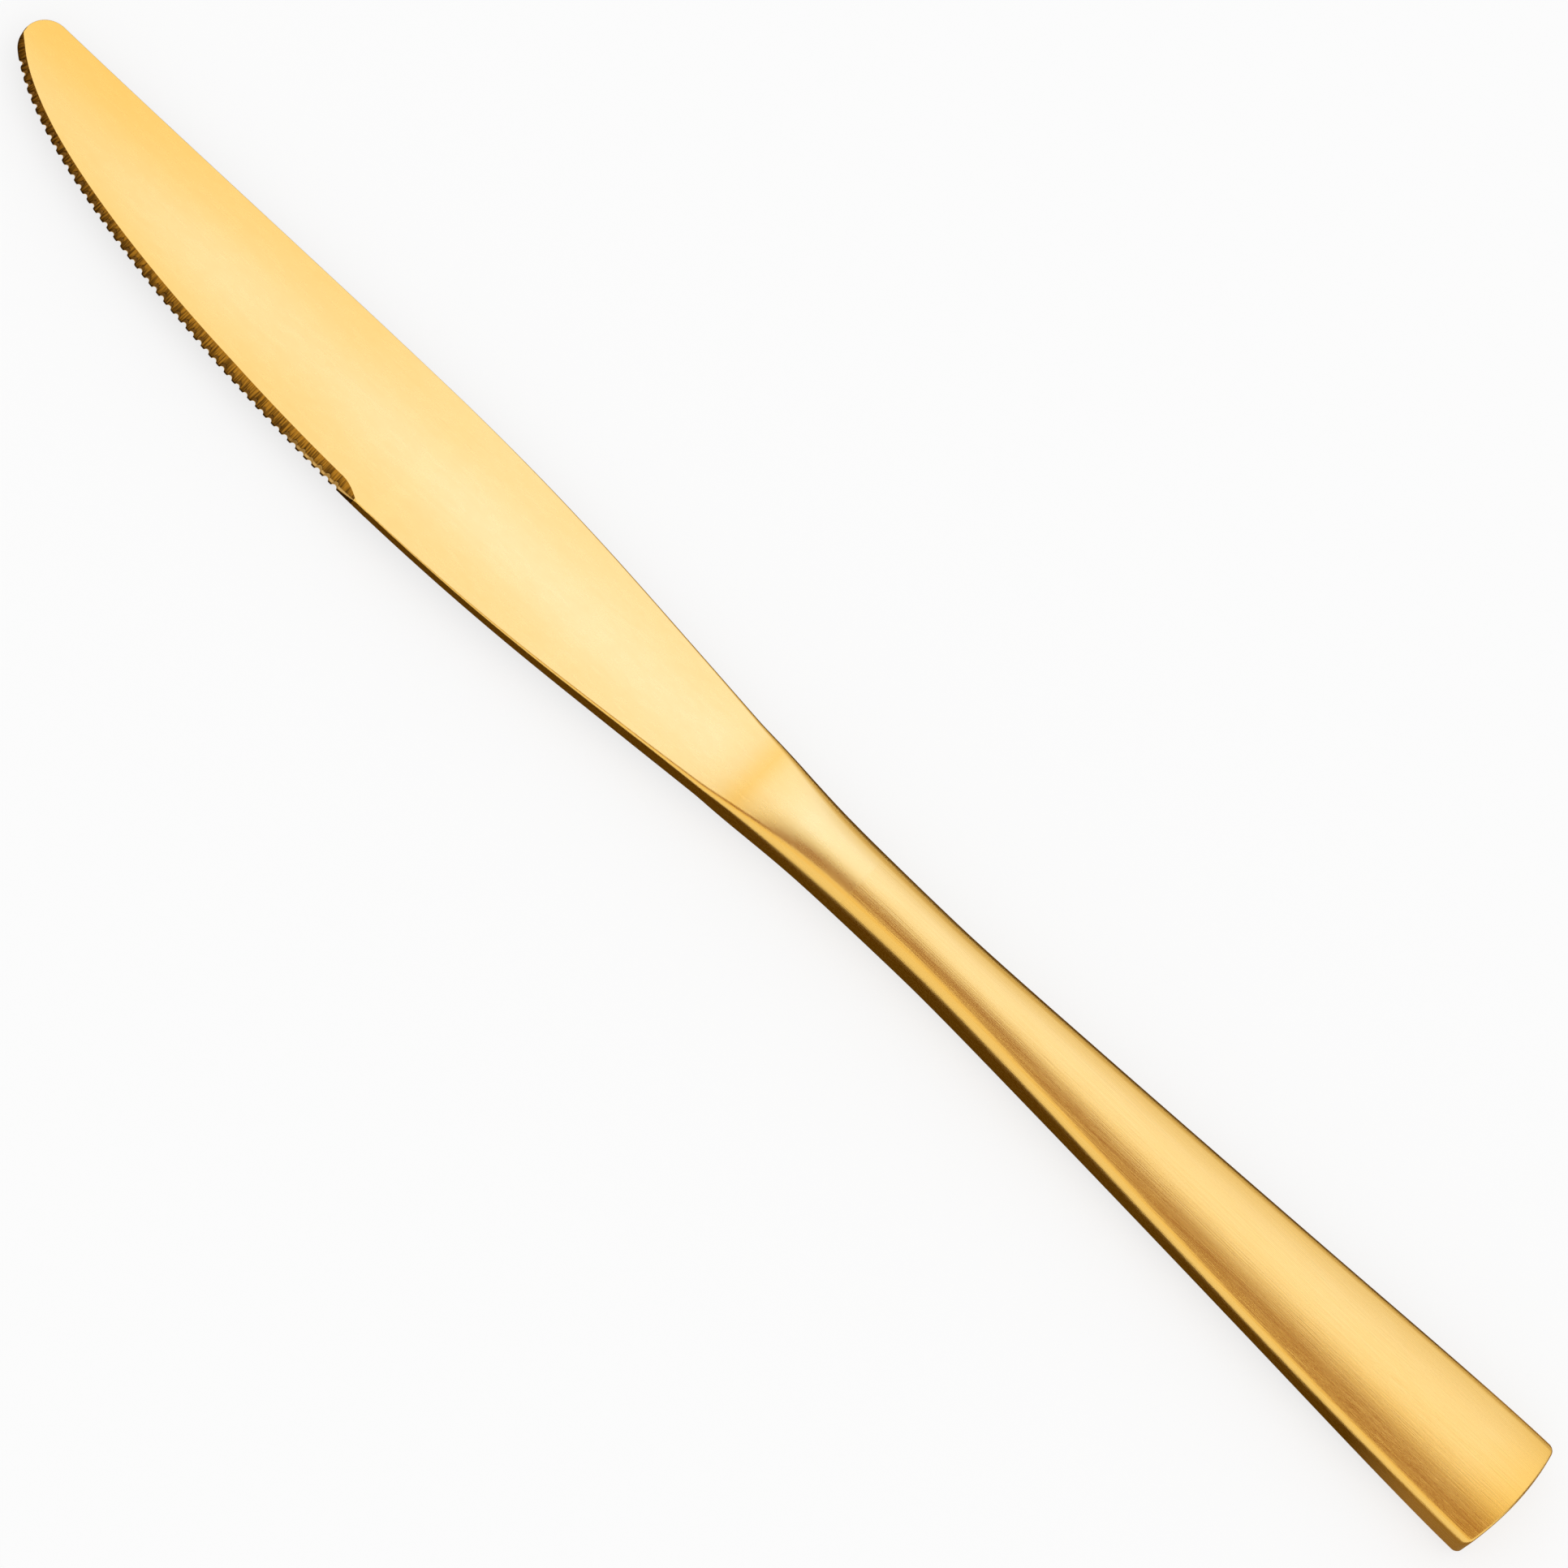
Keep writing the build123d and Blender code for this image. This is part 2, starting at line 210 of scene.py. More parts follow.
class KnifeStage(bpy.types.PropertyGroup):
    """The floor, the light and the camera."""

    floor_colour: colour("Floor", "Colour of the floor", (0.93, 0.93, 0.93))
    floor_glow: share("Floor glow", "Share of the floor that shows as even white, with no shadow", 0.72)
    world_level: share("World level", "Brightness of the surroundings", 0.95, 3.0)
    lamp_level: share("Lamp level", "Brightness of the soft lamp overhead, as metal mirrors it", 0.15, 3.0)
    camera_distance: length("Camera distance", "From the camera to the knife", 1.5)
    frame_width: length("Frame width", "Width of the picture at the knife", 0.1722)
    camera_elevation: angle("Camera elevation", "Angle above the floor", 70.0)
    knife_slope: angle("Slope in the picture", "How steeply the knife's axis runs down to the right", 43.68)
    aim_x: position("Aim X", "Place along the knife that the camera looks at", 0.0026)
    aim_y: position("Aim Y", "Place across the knife that the camera looks at", 0.0024)


# ---------------------------------------------------------------- curves

CURVE_SAMPLES = 2001
EDGE_SAMPLES = 6001
EASE_SAMPLES = 17


def bezier(points, amount):
    """Points on a Bezier curve, at amounts from 0 to 1 between its first and last control point."""
    level = [np.outer(np.ones_like(amount), point) for point in points]
    part = amount[:, None]
    while len(level) > 1:
        level = [a * (1 - part) + b * part for a, b in zip(level, level[1:])]
    return level[0]


def height_on(points, x):
    """Height of a Bezier curve over places on its first axis, along which it only runs forward."""
    curve = bezier(points, np.linspace(0.0, 1.0, CURVE_SAMPLES))
    return np.interp(x, curve[:, 0], curve[:, 1])


def sweep(first, first_pull, last, last_pull):
    """Control points of a curve that is level at both its ends, and pulled along there."""
    return [first, (first[0] + first_pull, first[1]), (last[0] - last_pull, last[1]), last]


def outline_half_width(size, station):
    """Half of the knife's width behind the heel, where its two sides are alike."""
    heel = (size.heel_station, size.heel_half_width)
    neck = (size.neck_station, size.neck_half_width)
    butt = (LENGTH, size.butt_half_width)
    waist = sweep(heel, size.waist_ease_heel, neck, size.waist_ease_neck)
    handle = sweep(neck, size.handle_ease_neck, butt, size.handle_ease_butt)
    return np.where(station < neck[0], height_on(waist, station), height_on(handle, station))


def half_thickness(size, thick, station):
    """Half of the knife's thickness at stations from the tip to the butt."""
    root = (size.root_station, thick.blade / 2)
    foot = (thick.ramp_station, thick.ramp / 2)
    neck = (size.neck_station, thick.neck / 2)
    slim = (thick.slim_station, thick.slim / 2)
    butt = (LENGTH, thick.butt / 2)
    plate_knee = (root[0] + thick.plate_ease, root[1])
    rise = Vector((foot[0] - plate_knee[0], foot[1] - plate_knee[1])).normalized() * thick.ramp_ease_blade
    taper = thick.tip / 2 + (thick.blade - thick.tip) / 2 * station / root[0]
    plate = height_on([root, plate_knee, foot], station)
    ramp = [foot, (foot[0] + rise.x, foot[1] + rise.y), (neck[0] - thick.ramp_ease_neck, neck[1]), neck]
    front = sweep(neck, thick.slim_ease, slim, thick.slim_ease)
    back = sweep(slim, thick.butt_ease, butt, thick.butt_ease)
    limits = [station < place[0] for place in (root, foot, neck, slim)]
    heights = [taper, plate, height_on(ramp, station), height_on(front, station)]
    return np.select(limits, heights, height_on(back, station))


# How the section changes along the knife: the corners' radius, and the tilt in degrees that a crowned
# face has reached where it meets the corner. The blade's own faces are flat, and the neck is nearly oval.
SECTION_STATIONS = (0.064, 0.106, 0.114, 0.118, 0.122, 0.126, 0.142, 0.160, 0.200, 0.230)
CORNER_RADII = (0.0001, 0.0004, 0.0008, 0.0013, 0.0020, 0.0024, 0.0023, 0.0019, 0.0015, 0.0013)
CROWN_TILTS = (0.0, 0.0, 4.0, 8.0, 17.0, 20.0, 20.5, 20.0, 19.0, 17.0)
SECTION_EASE = 0.004


def eased(values, station):
    """A listed value at any station, eased over a few millimetres so that no kink shows."""
    offsets = np.linspace(-SECTION_EASE, SECTION_EASE, EASE_SAMPLES)
    return np.mean([np.interp(station + offset, SECTION_STATIONS, values) for offset in offsets], axis=0)


LEAST_TILT = 0.001  # degrees, so that a flat face is an arc too
CROWN_STEPS = 12
CORNER_STEPS = 9
SIDE_STEPS = 4
# Where a quarter section has its points, as shares of the way over the crown, round the corner and down
# the side. The crown's points crowd towards the corner.
CROWN_SHARES = np.sin(np.linspace(0, pi / 2, CROWN_STEPS + 1))
CORNER_SHARES = np.linspace(0, 1, CORNER_STEPS + 1)[1:]
SIDE_SHARES = np.linspace(0, 1, SIDE_STEPS + 1)[1:]
# A section's quarters in the order that ring_of joins them: edge side or spine side, upper or lower.
QUARTERS = ((-1, 1), (-1, -1), (1, -1), (1, 1))


def quarter_sections(size, thick, station, inset=0.0, least_corner=0.0, low=0.0):
    """A quarter of each station's section, from the middle of its crown to the middle of its side."""
    half = outline_half_width(size, station) - inset
    peak = half_thickness(size, thick, station) - inset
    corner = eased(CORNER_RADII, station)
    if inset:
        corner = np.maximum(corner - inset, least_corner)
    begin = np.radians(np.maximum(eased(CROWN_TILTS, station), LEAST_TILT))
    crown_half = half - corner + corner * np.sin(begin)
    radius = (crown_half / np.sin(begin))[:, None]
    tilt = np.outer(begin, CROWN_SHARES)
    across = radius * np.sin(tilt)
    crown_z = peak[:, None] - radius * (1 - np.cos(tilt))
    side = crown_z[:, -1] - corner * np.cos(begin)
    turn = begin[:, None] + np.outer(pi / 2 - begin, CORNER_SHARES)
    corner_y = (half - corner)[:, None] + corner[:, None] * np.sin(turn)
    corner_z = side[:, None] + corner[:, None] * np.cos(turn)
    side_z = side[:, None] + np.outer(low - side, SIDE_SHARES)
    side_y = np.repeat(half[:, None], SIDE_STEPS, axis=1)
    return np.hstack([across, corner_y, side_y]), np.hstack([crown_z, corner_z, side_z])


def ring_of(quarters):
    """Joins a section's four quarters, each running from crown to side, into one closed ring."""
    upper_edge, lower_edge, lower_spine, upper_spine = quarters
    return np.concatenate(
        [upper_edge, lower_edge[:, -2::-1], lower_spine[:, 1:], upper_spine[:, -2:0:-1]], axis=1
    )


def full_rings(size, thick, station, inset=0.0, least_corner=0.0):
    """Whole sections at stations behind the heel, as rings of points."""
    y, z = quarter_sections(size, thick, station, inset, least_corner)
    x = np.repeat((TIP + station)[:, None], y.shape[1], axis=1)
    return ring_of([np.stack([x, side * y, MIDDLE + up * z], axis=2) for side, up in QUARTERS])


# ---------------------------------------------------------------- meshes


def grid_faces(rows, columns, first=0, closed=False):
    """Quads between neighbouring points of a grid, whose rows close on themselves where closed is set."""
    faces = []
    for row in range(rows - 1):
        for column in range(columns if closed else columns - 1):
            a = first + row * columns + column
            b = first + row * columns + (column + 1) % columns
            faces.append((a, b, b + columns, a + columns))
    return faces


def tube_faces(rows, columns, first=0):
    """A closed skin over rows of rings: the quads between them, and a cap at each end."""
    last = first + (rows - 1) * columns
    caps = [tuple(range(first, first + columns)), tuple(range(last, last + columns))]
    return grid_faces(rows, columns, first, closed=True) + caps


def wall_faces(rows, columns):
    """A closed wall between two grids of one size, the second stored after the first."""
    count = rows * columns
    edge = [row * columns for row in range(rows)]
    edge += [(rows - 1) * columns + column for column in range(1, columns)]
    edge += [row * columns + columns - 1 for row in range(rows - 2, -1, -1)]
    edge += list(range(columns - 2, 0, -1))
    faces = grid_faces(rows, columns) + grid_faces(rows, columns, first=count)
    for a, b in zip(edge, edge[1:] + edge[:1]):
        faces.append((a, b, b + count, a + count))
    return faces


MERGE_DISTANCE = 1e-6
LEAST_EDGE = 1e-7
SHARP_ANGLE = radians(17)


def make_piece(name, points, faces, attributes=()):
    """A mesh object at the origin, with doubles merged and faces outward."""
    mesh = bpy.data.meshes.new(name)
    mesh.from_pydata([tuple(point) for point in points], [], faces)
    for label, kind, values in attributes:
        layer = mesh.attributes.new(label, kind, "POINT")
        layer.data.foreach_set("vector" if kind == "FLOAT_VECTOR" else "value", np.ravel(values))
    shape = bmesh.new()
    shape.from_mesh(mesh)
    bmesh.ops.remove_doubles(shape, verts=shape.verts, dist=MERGE_DISTANCE)
    bmesh.ops.dissolve_degenerate(shape, edges=shape.edges, dist=LEAST_EDGE)
    bmesh.ops.recalc_face_normals(shape, faces=shape.faces)
    shape.to_mesh(mesh)
    shape.free()
    piece = bpy.data.objects.new(name, mesh)
    bpy.context.scene.collection.objects.link(piece)
    return piece


def mark_level_faces(mesh):
    """Notes at each point how level its section is: 1 on a broad face, 0 on an upright side; the painted
    highlight reads it.
    """
    normals = np.empty(len(mesh.vertices) * 3)
    mesh.vertex_normals.foreach_get("vector", normals)
    across, up = normals[1::3], normals[2::3]
    layer = mesh.attributes.new("level_share", "FLOAT", "POINT")
    whole = np.maximum(np.hypot(across, up), 1e-6)  # never nothing, so that it can divide
    layer.data.foreach_set("value", np.abs(up) / whole)


def finish_piece(piece, node, material=None):
    """Shades a piece, gives it its material and lets it stand for its CAD node."""
    mark_level_faces(piece.data)
    piece.data.shade_smooth()
    piece.data.set_sharp_from_angle(angle=SHARP_ANGLE)
    if material:
        piece.data.materials.append(material)
    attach(piece, BODY)
    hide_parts(node)


def to_plain_mesh(piece):
    """Turns what a piece's modifiers make into its own mesh, and removes them."""
    evaluated = piece.evaluated_get(bpy.context.evaluated_depsgraph_get())
    made = bpy.data.meshes.new_from_object(evaluated)
    piece.modifiers.clear()
    spare = piece.data
    piece.data = made
    bpy.data.meshes.remove(spare)


# ---------------------------------------------------------------- node trees


def add_node(tree, kind, inputs=None, **settings):
    """Adds a node, sets it up and feeds its inputs with values or with other nodes' outputs."""
    node = tree.nodes.new(kind)
    for name, value in settings.items():
        setattr(node, name, value)
    for name, value in (inputs or {}).items():
        feed(tree, node.inputs[name], value)
    return node


def feed(tree, socket, value):
    """Links an output to a socket, or writes a plain value on it."""
    if isinstance(value, bpy.types.NodeSocket):
        tree.links.new(value, socket)
    else:
        socket.default_value = value


def math(tree, operation, *values):
    """A Math node's result."""
    node = tree.nodes.new("ShaderNodeMath")
    node.operation = operation
    for socket, value in zip(node.inputs, values):
        feed(tree, socket, value)
    return node.outputs[0]


def new_tree(name, kind, inputs, outputs):
    """A node group with named sockets, and its input and output nodes."""
    tree = bpy.data.node_groups.new(name, kind)
    for label, socket_type, default in inputs:
        socket = tree.interface.new_socket(label, in_out="INPUT", socket_type=socket_type)
        if default is not None:
            socket.default_value = default
    for label, socket_type in outputs:
        tree.interface.new_socket(label, in_out="OUTPUT", socket_type=socket_type)
    return tree, tree.nodes.new("NodeGroupInput"), tree.nodes.new("NodeGroupOutput")


def mixed_colour(tree, factor, first, second):
    """A Mix node's colour."""
    node = tree.nodes.new("ShaderNodeMix")
    node.data_type = "RGBA"
    feed(tree, node.inputs["Factor"], factor)
    feed(tree, node.inputs[6], first)
    feed(tree, node.inputs[7], second)
    return node.outputs[2]


def ranged(tree, value, low, high, to_low=0.0, to_high=1.0):
    """A value carried over from one range to another, and held inside it."""
    ends = {"Value": value, "From Min": low, "From Max": high, "To Min": to_low, "To Max": to_high}
    return add_node(tree, "ShaderNodeMapRange", ends).outputs["Result"]


NOISE_MIDDLE = 0.5


def spread(tree, value, reach):
    """A noise value stretched about its middle, so that a reach either way of it fills 0 to 1."""
    return ranged(tree, value, NOISE_MIDDLE - reach, NOISE_MIDDLE + reach)


def solid_colour(values):
    """A colour with full alpha."""
    return (*values, 1.0)


def object_place(tree):
    """Object coordinates."""
    return tree.nodes.new("ShaderNodeTexCoord").outputs["Object"]


def apart(tree, vector):
    """A vector's parts, by axis."""
    return add_node(tree, "ShaderNodeSeparateXYZ", {"Vector": vector}).outputs


def stretched_place(tree, along, across):
    """Object coordinates divided by one length along the knife and by another the other two ways."""
    parts = apart(tree, object_place(tree))
    scaled = {axis: math(tree, "DIVIDE", parts[axis], along if axis == "X" else across) for axis in "XYZ"}
    return add_node(tree, "ShaderNodeCombineXYZ", scaled).outputs["Vector"]


def noise(tree, place, scale, detail, roughness):
    """A Noise Texture's value."""
    inputs = {"Vector": place, "Scale": scale, "Detail": detail, "Roughness": roughness}
    return add_node(tree, "ShaderNodeTexNoise", inputs).outputs["Fac"]


def mesh_value(tree, name):
    """A number that the mesh carries at its points."""
    return add_node(tree, "ShaderNodeAttribute", attribute_name=name).outputs["Fac"]


def clamped(tree, value):
    """A value held between 0 and 1."""
    return add_node(tree, "ShaderNodeClamp", {"Value": value}).outputs["Result"]


def add_bump(tree, shader, strength, distance, height):
    """Lets a height show in the surface's light."""
    bump = add_node(tree, "ShaderNodeBump", {"Strength": strength, "Distance": distance, "Height": height})
    feed(tree, shader.inputs["Normal"], bump.outputs["Normal"])


# ---------------------------------------------------------------- flutes, by Geometry Nodes

FALL_AWAY = 3.0  # how steeply a flute's wall drops outside its rim
HEEL_CREST_SHARE = 0.3  # how much of a crest's rounding at the nose is left at the heel


def flute_tree(sizes):
    """Grinds flutes into the points of an edge that carry their run, inset and height as attributes."""
    inputs = [("Geometry", "NodeSocketGeometry", None), ("Material", "NodeSocketMaterial", None)]
    for name, value in sizes.items():
        inputs.append((name, "NodeSocketInt" if isinstance(value, int) else "NodeSocketFloat", value))
    outputs = [("Geometry", "NodeSocketGeometry")]
    tree, given, made = new_tree("Ground Flutes", "GeometryNodeTree", inputs, outputs)
    size = given.outputs

    def attribute(name, kind="FLOAT"):
        node = add_node(tree, "GeometryNodeInputNamedAttribute", {"Name": name}, data_type=kind)
        return node.outputs["Attribute"]

    run = attribute("run")
    inset = attribute("edge_inset")
    height = attribute("edge_height")
    # the nearest flute, and how far a point lies from its middle
    place = math(tree, "DIVIDE", math(tree, "SUBTRACT", run, size["First Tooth"]), size["Tooth Pitch"])
    last = math(tree, "SUBTRACT", size["Teeth"], 1.0)
    index = math(tree, "MINIMUM", math(tree, "MAXIMUM", math(tree, "ROUND", place), 0.0), last)
    off_middle = math(tree, "SUBTRACT", place, index)
    away = math(tree, "ABSOLUTE", math(tree, "MULTIPLY", off_middle, size["Tooth Pitch"]))
    # flutes are narrow and crests round at the nose; towards the heel flutes widen and crests flatten
    along = ranged(tree, place, 0.0, last)
    wider = math(tree, "SUBTRACT", size["Flute Radius"], size["Nose Flute Radius"])
    radius = math(tree, "ADD", size["Nose Flute Radius"], math(tree, "MULTIPLY", wider, along))
    half_pitch = math(tree, "DIVIDE", size["Tooth Pitch"], 2.0)
    off_crest = math(tree, "MAXIMUM", math(tree, "SUBTRACT", half_pitch, away), 0.0)
    square_off = math(tree, "POWER", off_crest, 2.0)
    sagitta = math(tree, "DIVIDE", math(tree, "DIVIDE", square_off, size["Nose Tooth Radius"]), 2.0)
    lobe = math(tree, "MULTIPLY", sagitta, ranged(tree, along, 0.0, 1.0, 1.0, HEEL_CREST_SHARE))
    # uneven depth, the same for a whole flute
    chance = tree.nodes.new("FunctionNodeRandomValue")
    chance.data_type = "FLOAT"
    by_name = {socket.identifier: socket for socket in chance.inputs}
    feed(tree, by_name["Min_001"], math(tree, "MULTIPLY", size["Depth Variation"], -1.0))
    feed(tree, by_name["Max_001"], size["Depth Variation"])
    feed(tree, by_name["ID"], index)
    feed(tree, by_name["Seed"], size["Seed"])
    uneven = next(socket for socket in chance.outputs if socket.identifier == "Value_001")
    depth = math(tree, "MULTIPLY", size["Tooth Depth"], math(tree, "ADD", uneven, 1.0))
    # the flute's wall: a leaning cylinder's inner side, which falls away beyond its rim
    lean = math(tree, "MULTIPLY", height, size["Flute Slope"])
    axis = math(tree, "ADD", math(tree, "SUBTRACT", depth, radius), lean)
    square = math(tree, "SUBTRACT", math(tree, "POWER", radius, 2.0), math(tree, "POWER", away, 2.0))
    arc = math(tree, "SQRT", math(tree, "MAXIMUM", square, 0.0))
    beyond = math(tree, "MAXIMUM", math(tree, "SUBTRACT", away, radius), 0.0)
    wall = math(tree, "SUBTRACT", math(tree, "ADD", axis, arc), math(tree, "MULTIPLY", beyond, FALL_AWAY))
    soft_wall = math(tree, "SMOOTH_MAX", wall, lobe, size["Crest Rounding"])
    shift = math(tree, "MAXIMUM", math(tree, "SUBTRACT", soft_wall, inset), 0.0)
    # the points move inward, and keep how far, which the material reads
    scaled = add_node(tree, "ShaderNodeVectorMath", operation="SCALE")
    feed(tree, scaled.inputs[0], attribute("edge_inward", "FLOAT_VECTOR"))
    feed(tree, scaled.inputs["Scale"], shift)
    moved = {"Geometry": size["Geometry"], "Offset": scaled.outputs[0]}
    cut = add_node(tree, "GeometryNodeSetPosition", moved)
    noted = add_node(
        tree,
        "GeometryNodeStoreNamedAttribute",
        {"Geometry": cut.outputs["Geometry"], "Name": "flute_cut"},
        data_type="FLOAT",
        domain="POINT",
    )
    feed(tree, noted.inputs["Value"], shift)
    whole = add_node(tree, "GeometryNodeRealizeInstances", {"Geometry": noted.outputs["Geometry"]})
    coated = {"Geometry": whole.outputs["Geometry"], "Material": size["Material"]}
    finished = add_node(tree, "GeometryNodeSetMaterial", coated)
    tree.links.new(finished.outputs["Geometry"], made.inputs["Geometry"])
    return tree


def set_inputs(modifier, values):
    """Sets a Geometry Nodes modifier's inputs by their names in the tree."""
    for item in modifier.node_group.interface.items_tree:
        if item.item_type == "SOCKET" and item.in_out == "INPUT" and item.name in values:
            modifier[item.identifier] = values[item.name]


# ---------------------------------------------------------------- shader groups


def brushing_group(name):
    """Fine scratches that run along the knife."""
    inputs = [
        ("Line Length", "NodeSocketFloat", 0.02),
        ("Line Width", "NodeSocketFloat", 0.0001),
        ("Unevenness", "NodeSocketFloat", 0.5),
    ]
    outputs = [("Height", "NodeSocketFloat"), ("Shade", "NodeSocketFloat")]
    tree, given, made = new_tree(name, "ShaderNodeTree", inputs, outputs)
    size = given.outputs
    stretched = stretched_place(tree, size["Line Length"], size["Line Width"])
    fine = noise(tree, stretched, scale=1.0, detail=4.0, roughness=0.65)
    broad = noise(tree, stretched, scale=0.17, detail=3.0, roughness=0.6)
    patch = spread(tree, broad, 0.15)
    calm = math(tree, "SUBTRACT", 1.0, size["Unevenness"])
    strength = math(tree, "ADD", calm, math(tree, "MULTIPLY", patch, size["Unevenness"]))
    centred = math(tree, "SUBTRACT", fine, NOISE_MIDDLE)
    feed(tree, made.inputs["Height"], math(tree, "MULTIPLY", centred, strength))
    feed(tree, made.inputs["Shade"], spread(tree, fine, 0.2))
    return tree


def cloud_group(name):
    """Slow changes of tone in a satin coating or in cement, and a finer mottle."""
    inputs = [("Size", "NodeSocketFloat", 0.03), ("Stretch", "NodeSocketFloat", 2.0)]
    outputs = [("Cloud", "NodeSocketFloat"), ("Mottle", "NodeSocketFloat")]
    tree, given, made = new_tree(name, "ShaderNodeTree", inputs, outputs)
    size = given.outputs
    stretched = stretched_place(tree, math(tree, "MULTIPLY", size["Size"], size["Stretch"]), size["Size"])
    slow = noise(tree, stretched, scale=1.0, detail=3.0, roughness=0.5)
    fine = noise(tree, stretched, scale=14.0, detail=4.0, roughness=0.7)
    feed(tree, made.inputs["Cloud"], spread(tree, slow, 0.17))
    feed(tree, made.inputs["Mottle"], spread(tree, fine, 0.2))
    return tree


MARK_DRIFT = 0.35  # how much a mark changes over the bevel's height, beside its change across
GROUND_FADE = (1.08, 0.98)  # shares of the bevel's height between which the ground tone comes in


def grinding_group(name):
    """Marks of a grinding wheel that run square to the edge, over the ground part only."""
    inputs = [("Mark Width", "NodeSocketFloat", 0.00015), ("Contrast", "NodeSocketFloat", 0.2)]
    outputs = [("Ground", "NodeSocketFloat"), ("Marks", "NodeSocketFloat"), ("Height", "NodeSocketFloat")]
    tree, given, made = new_tree(name, "ShaderNodeTree", inputs, outputs)
    size = given.outputs
    bevel = mesh_value(tree, "bevel_share")
    steps = math(tree, "DIVIDE", mesh_value(tree, "run"), size["Mark Width"])
    down = math(tree, "MULTIPLY", bevel, MARK_DRIFT)
    place = add_node(tree, "ShaderNodeCombineXYZ", {"X": steps, "Y": down}).outputs["Vector"]
    streaks = noise(tree, place, scale=1.0, detail=3.0, roughness=0.6)
    low = math(tree, "SUBTRACT", NOISE_MIDDLE, size["Contrast"])
    high = math(tree, "ADD", NOISE_MIDDLE, size["Contrast"])
    feed(tree, made.inputs["Ground"], ranged(tree, bevel, *GROUND_FADE))
    feed(tree, made.inputs["Marks"], ranged(tree, streaks, low, high))
    feed(tree, made.inputs["Height"], math(tree, "SUBTRACT", streaks, NOISE_MIDDLE))
    return tree


def place_group(tree, name, maker, values):
    """Puts a node group, which is made once, in a material with its own values."""
    node = tree.nodes.new("ShaderNodeGroup")
    node.node_tree = bpy.data.node_groups.get(name) or maker(name)
    for label, value in values.items():
        feed(tree, node.inputs[label], value)
    return node.outputs


def clouds(tree, size, stretch):
    """The coating's or the cement's clouds, with their own size."""
    return place_group(tree, "Satin Cloud", cloud_group, {"Size": size, "Stretch": stretch})


def brushed_lines(tree, line_length, line_width, unevenness):
    """Lengthwise scratches with their own size."""
    values = {"Line Length": line_length, "Line Width": line_width, "Unevenness": unevenness}
    return place_group(tree, "Lengthwise Brushing", brushing_group, values)


def new_material(name):
    """A material with only a shader and its output."""
    material = bpy.data.materials.new(name)
    material.use_nodes = True
    tree = material.node_tree
    tree.nodes.clear()
    shader = tree.nodes.new("ShaderNodeBsdfPrincipled")
    output = tree.nodes.new("ShaderNodeOutputMaterial")
    tree.links.new(shader.outputs["BSDF"], output.inputs["Surface"])
    return material, tree, shader


# ---------------------------------------------------------------- materials

# Painted highlight along the knife, where level faces would mirror bright surroundings: station, its
# strength on the middle line, and what it loses towards the edges. It dips into painted shade in the
# hollow at the foot of the ramp.
PAINTED_HIGHLIGHT_STOPS = (
    (0.000, 0.28, 0.30),
    (0.035, 0.64, 0.38),
    (0.050, 0.66, 0.34),
    (0.070, 0.92, 0.38),
    (0.090, 1.00, 0.38),
    (0.109, 0.92, 0.28),
    (0.1125, 0.66, 0.10),
    (0.1148, 0.15, 0.00),
    (0.1170, 0.60, 0.10),
    (0.1225, 0.95, 0.20),
    (0.135, 0.66, 0.05),
    (0.200, 0.42, 0.00),
    (0.223, 0.30, 0.00),
    (0.230, 0.00, 0.00),
)
# Tilts between which a surface turns from a side, which gets no painted highlight, into a face.
HIGHLIGHT_TILTS = (radians(29), radians(11))
CLOUD_DRIFT = 0.06  # how far the clouds shift the painted highlight either way, at random


def painted_highlight_group(name):
    """Painted highlight on the coating at a place: most on the blade's middle line, least on upright sides.
    """
    inputs = [(label, "NodeSocketFloat", 0.0) for label in ("Tip", "Length", "Highlight Width")]
    tree, given, made = new_tree(name, "ShaderNodeTree", inputs, [("Painted Highlight", "NodeSocketFloat")])
    size = given.outputs
    place = apart(tree, object_place(tree))
    station = math(tree, "DIVIDE", math(tree, "SUBTRACT", place["X"], size["Tip"]), size["Length"])
    along = add_node(tree, "ShaderNodeValToRGB", {"Fac": station})
    stops = along.color_ramp.elements
    whole = PAINTED_HIGHLIGHT_STOPS[-1][0]
    for index, (at, middle, loss) in enumerate(PAINTED_HIGHLIGHT_STOPS):
        stop = stops[index] if index < len(stops) else stops.new(1.0)
        stop.position = at / whole
        stop.color = (middle, loss, 0.0, 1.0)
    shares = add_node(tree, "ShaderNodeSeparateColor", {"Color": along.outputs["Color"]}).outputs
    aside = math(tree, "ABSOLUTE", math(tree, "DIVIDE", place["Y"], size["Highlight Width"]))
    near = math(tree, "EXPONENT", math(tree, "MULTIPLY", math(tree, "POWER", aside, 2.0), -0.5))
    lost = math(tree, "MULTIPLY", shares["Green"], math(tree, "SUBTRACT", 1.0, near))
    kept = math(tree, "SUBTRACT", shares["Red"], lost)
    tilt = math(tree, "ARCCOSINE", mesh_value(tree, "level_share"))
    feed(tree, made.inputs["Painted Highlight"], math(tree, "MULTIPLY", kept, ranged(tree, tilt, *HIGHLIGHT_TILTS)))
    return tree


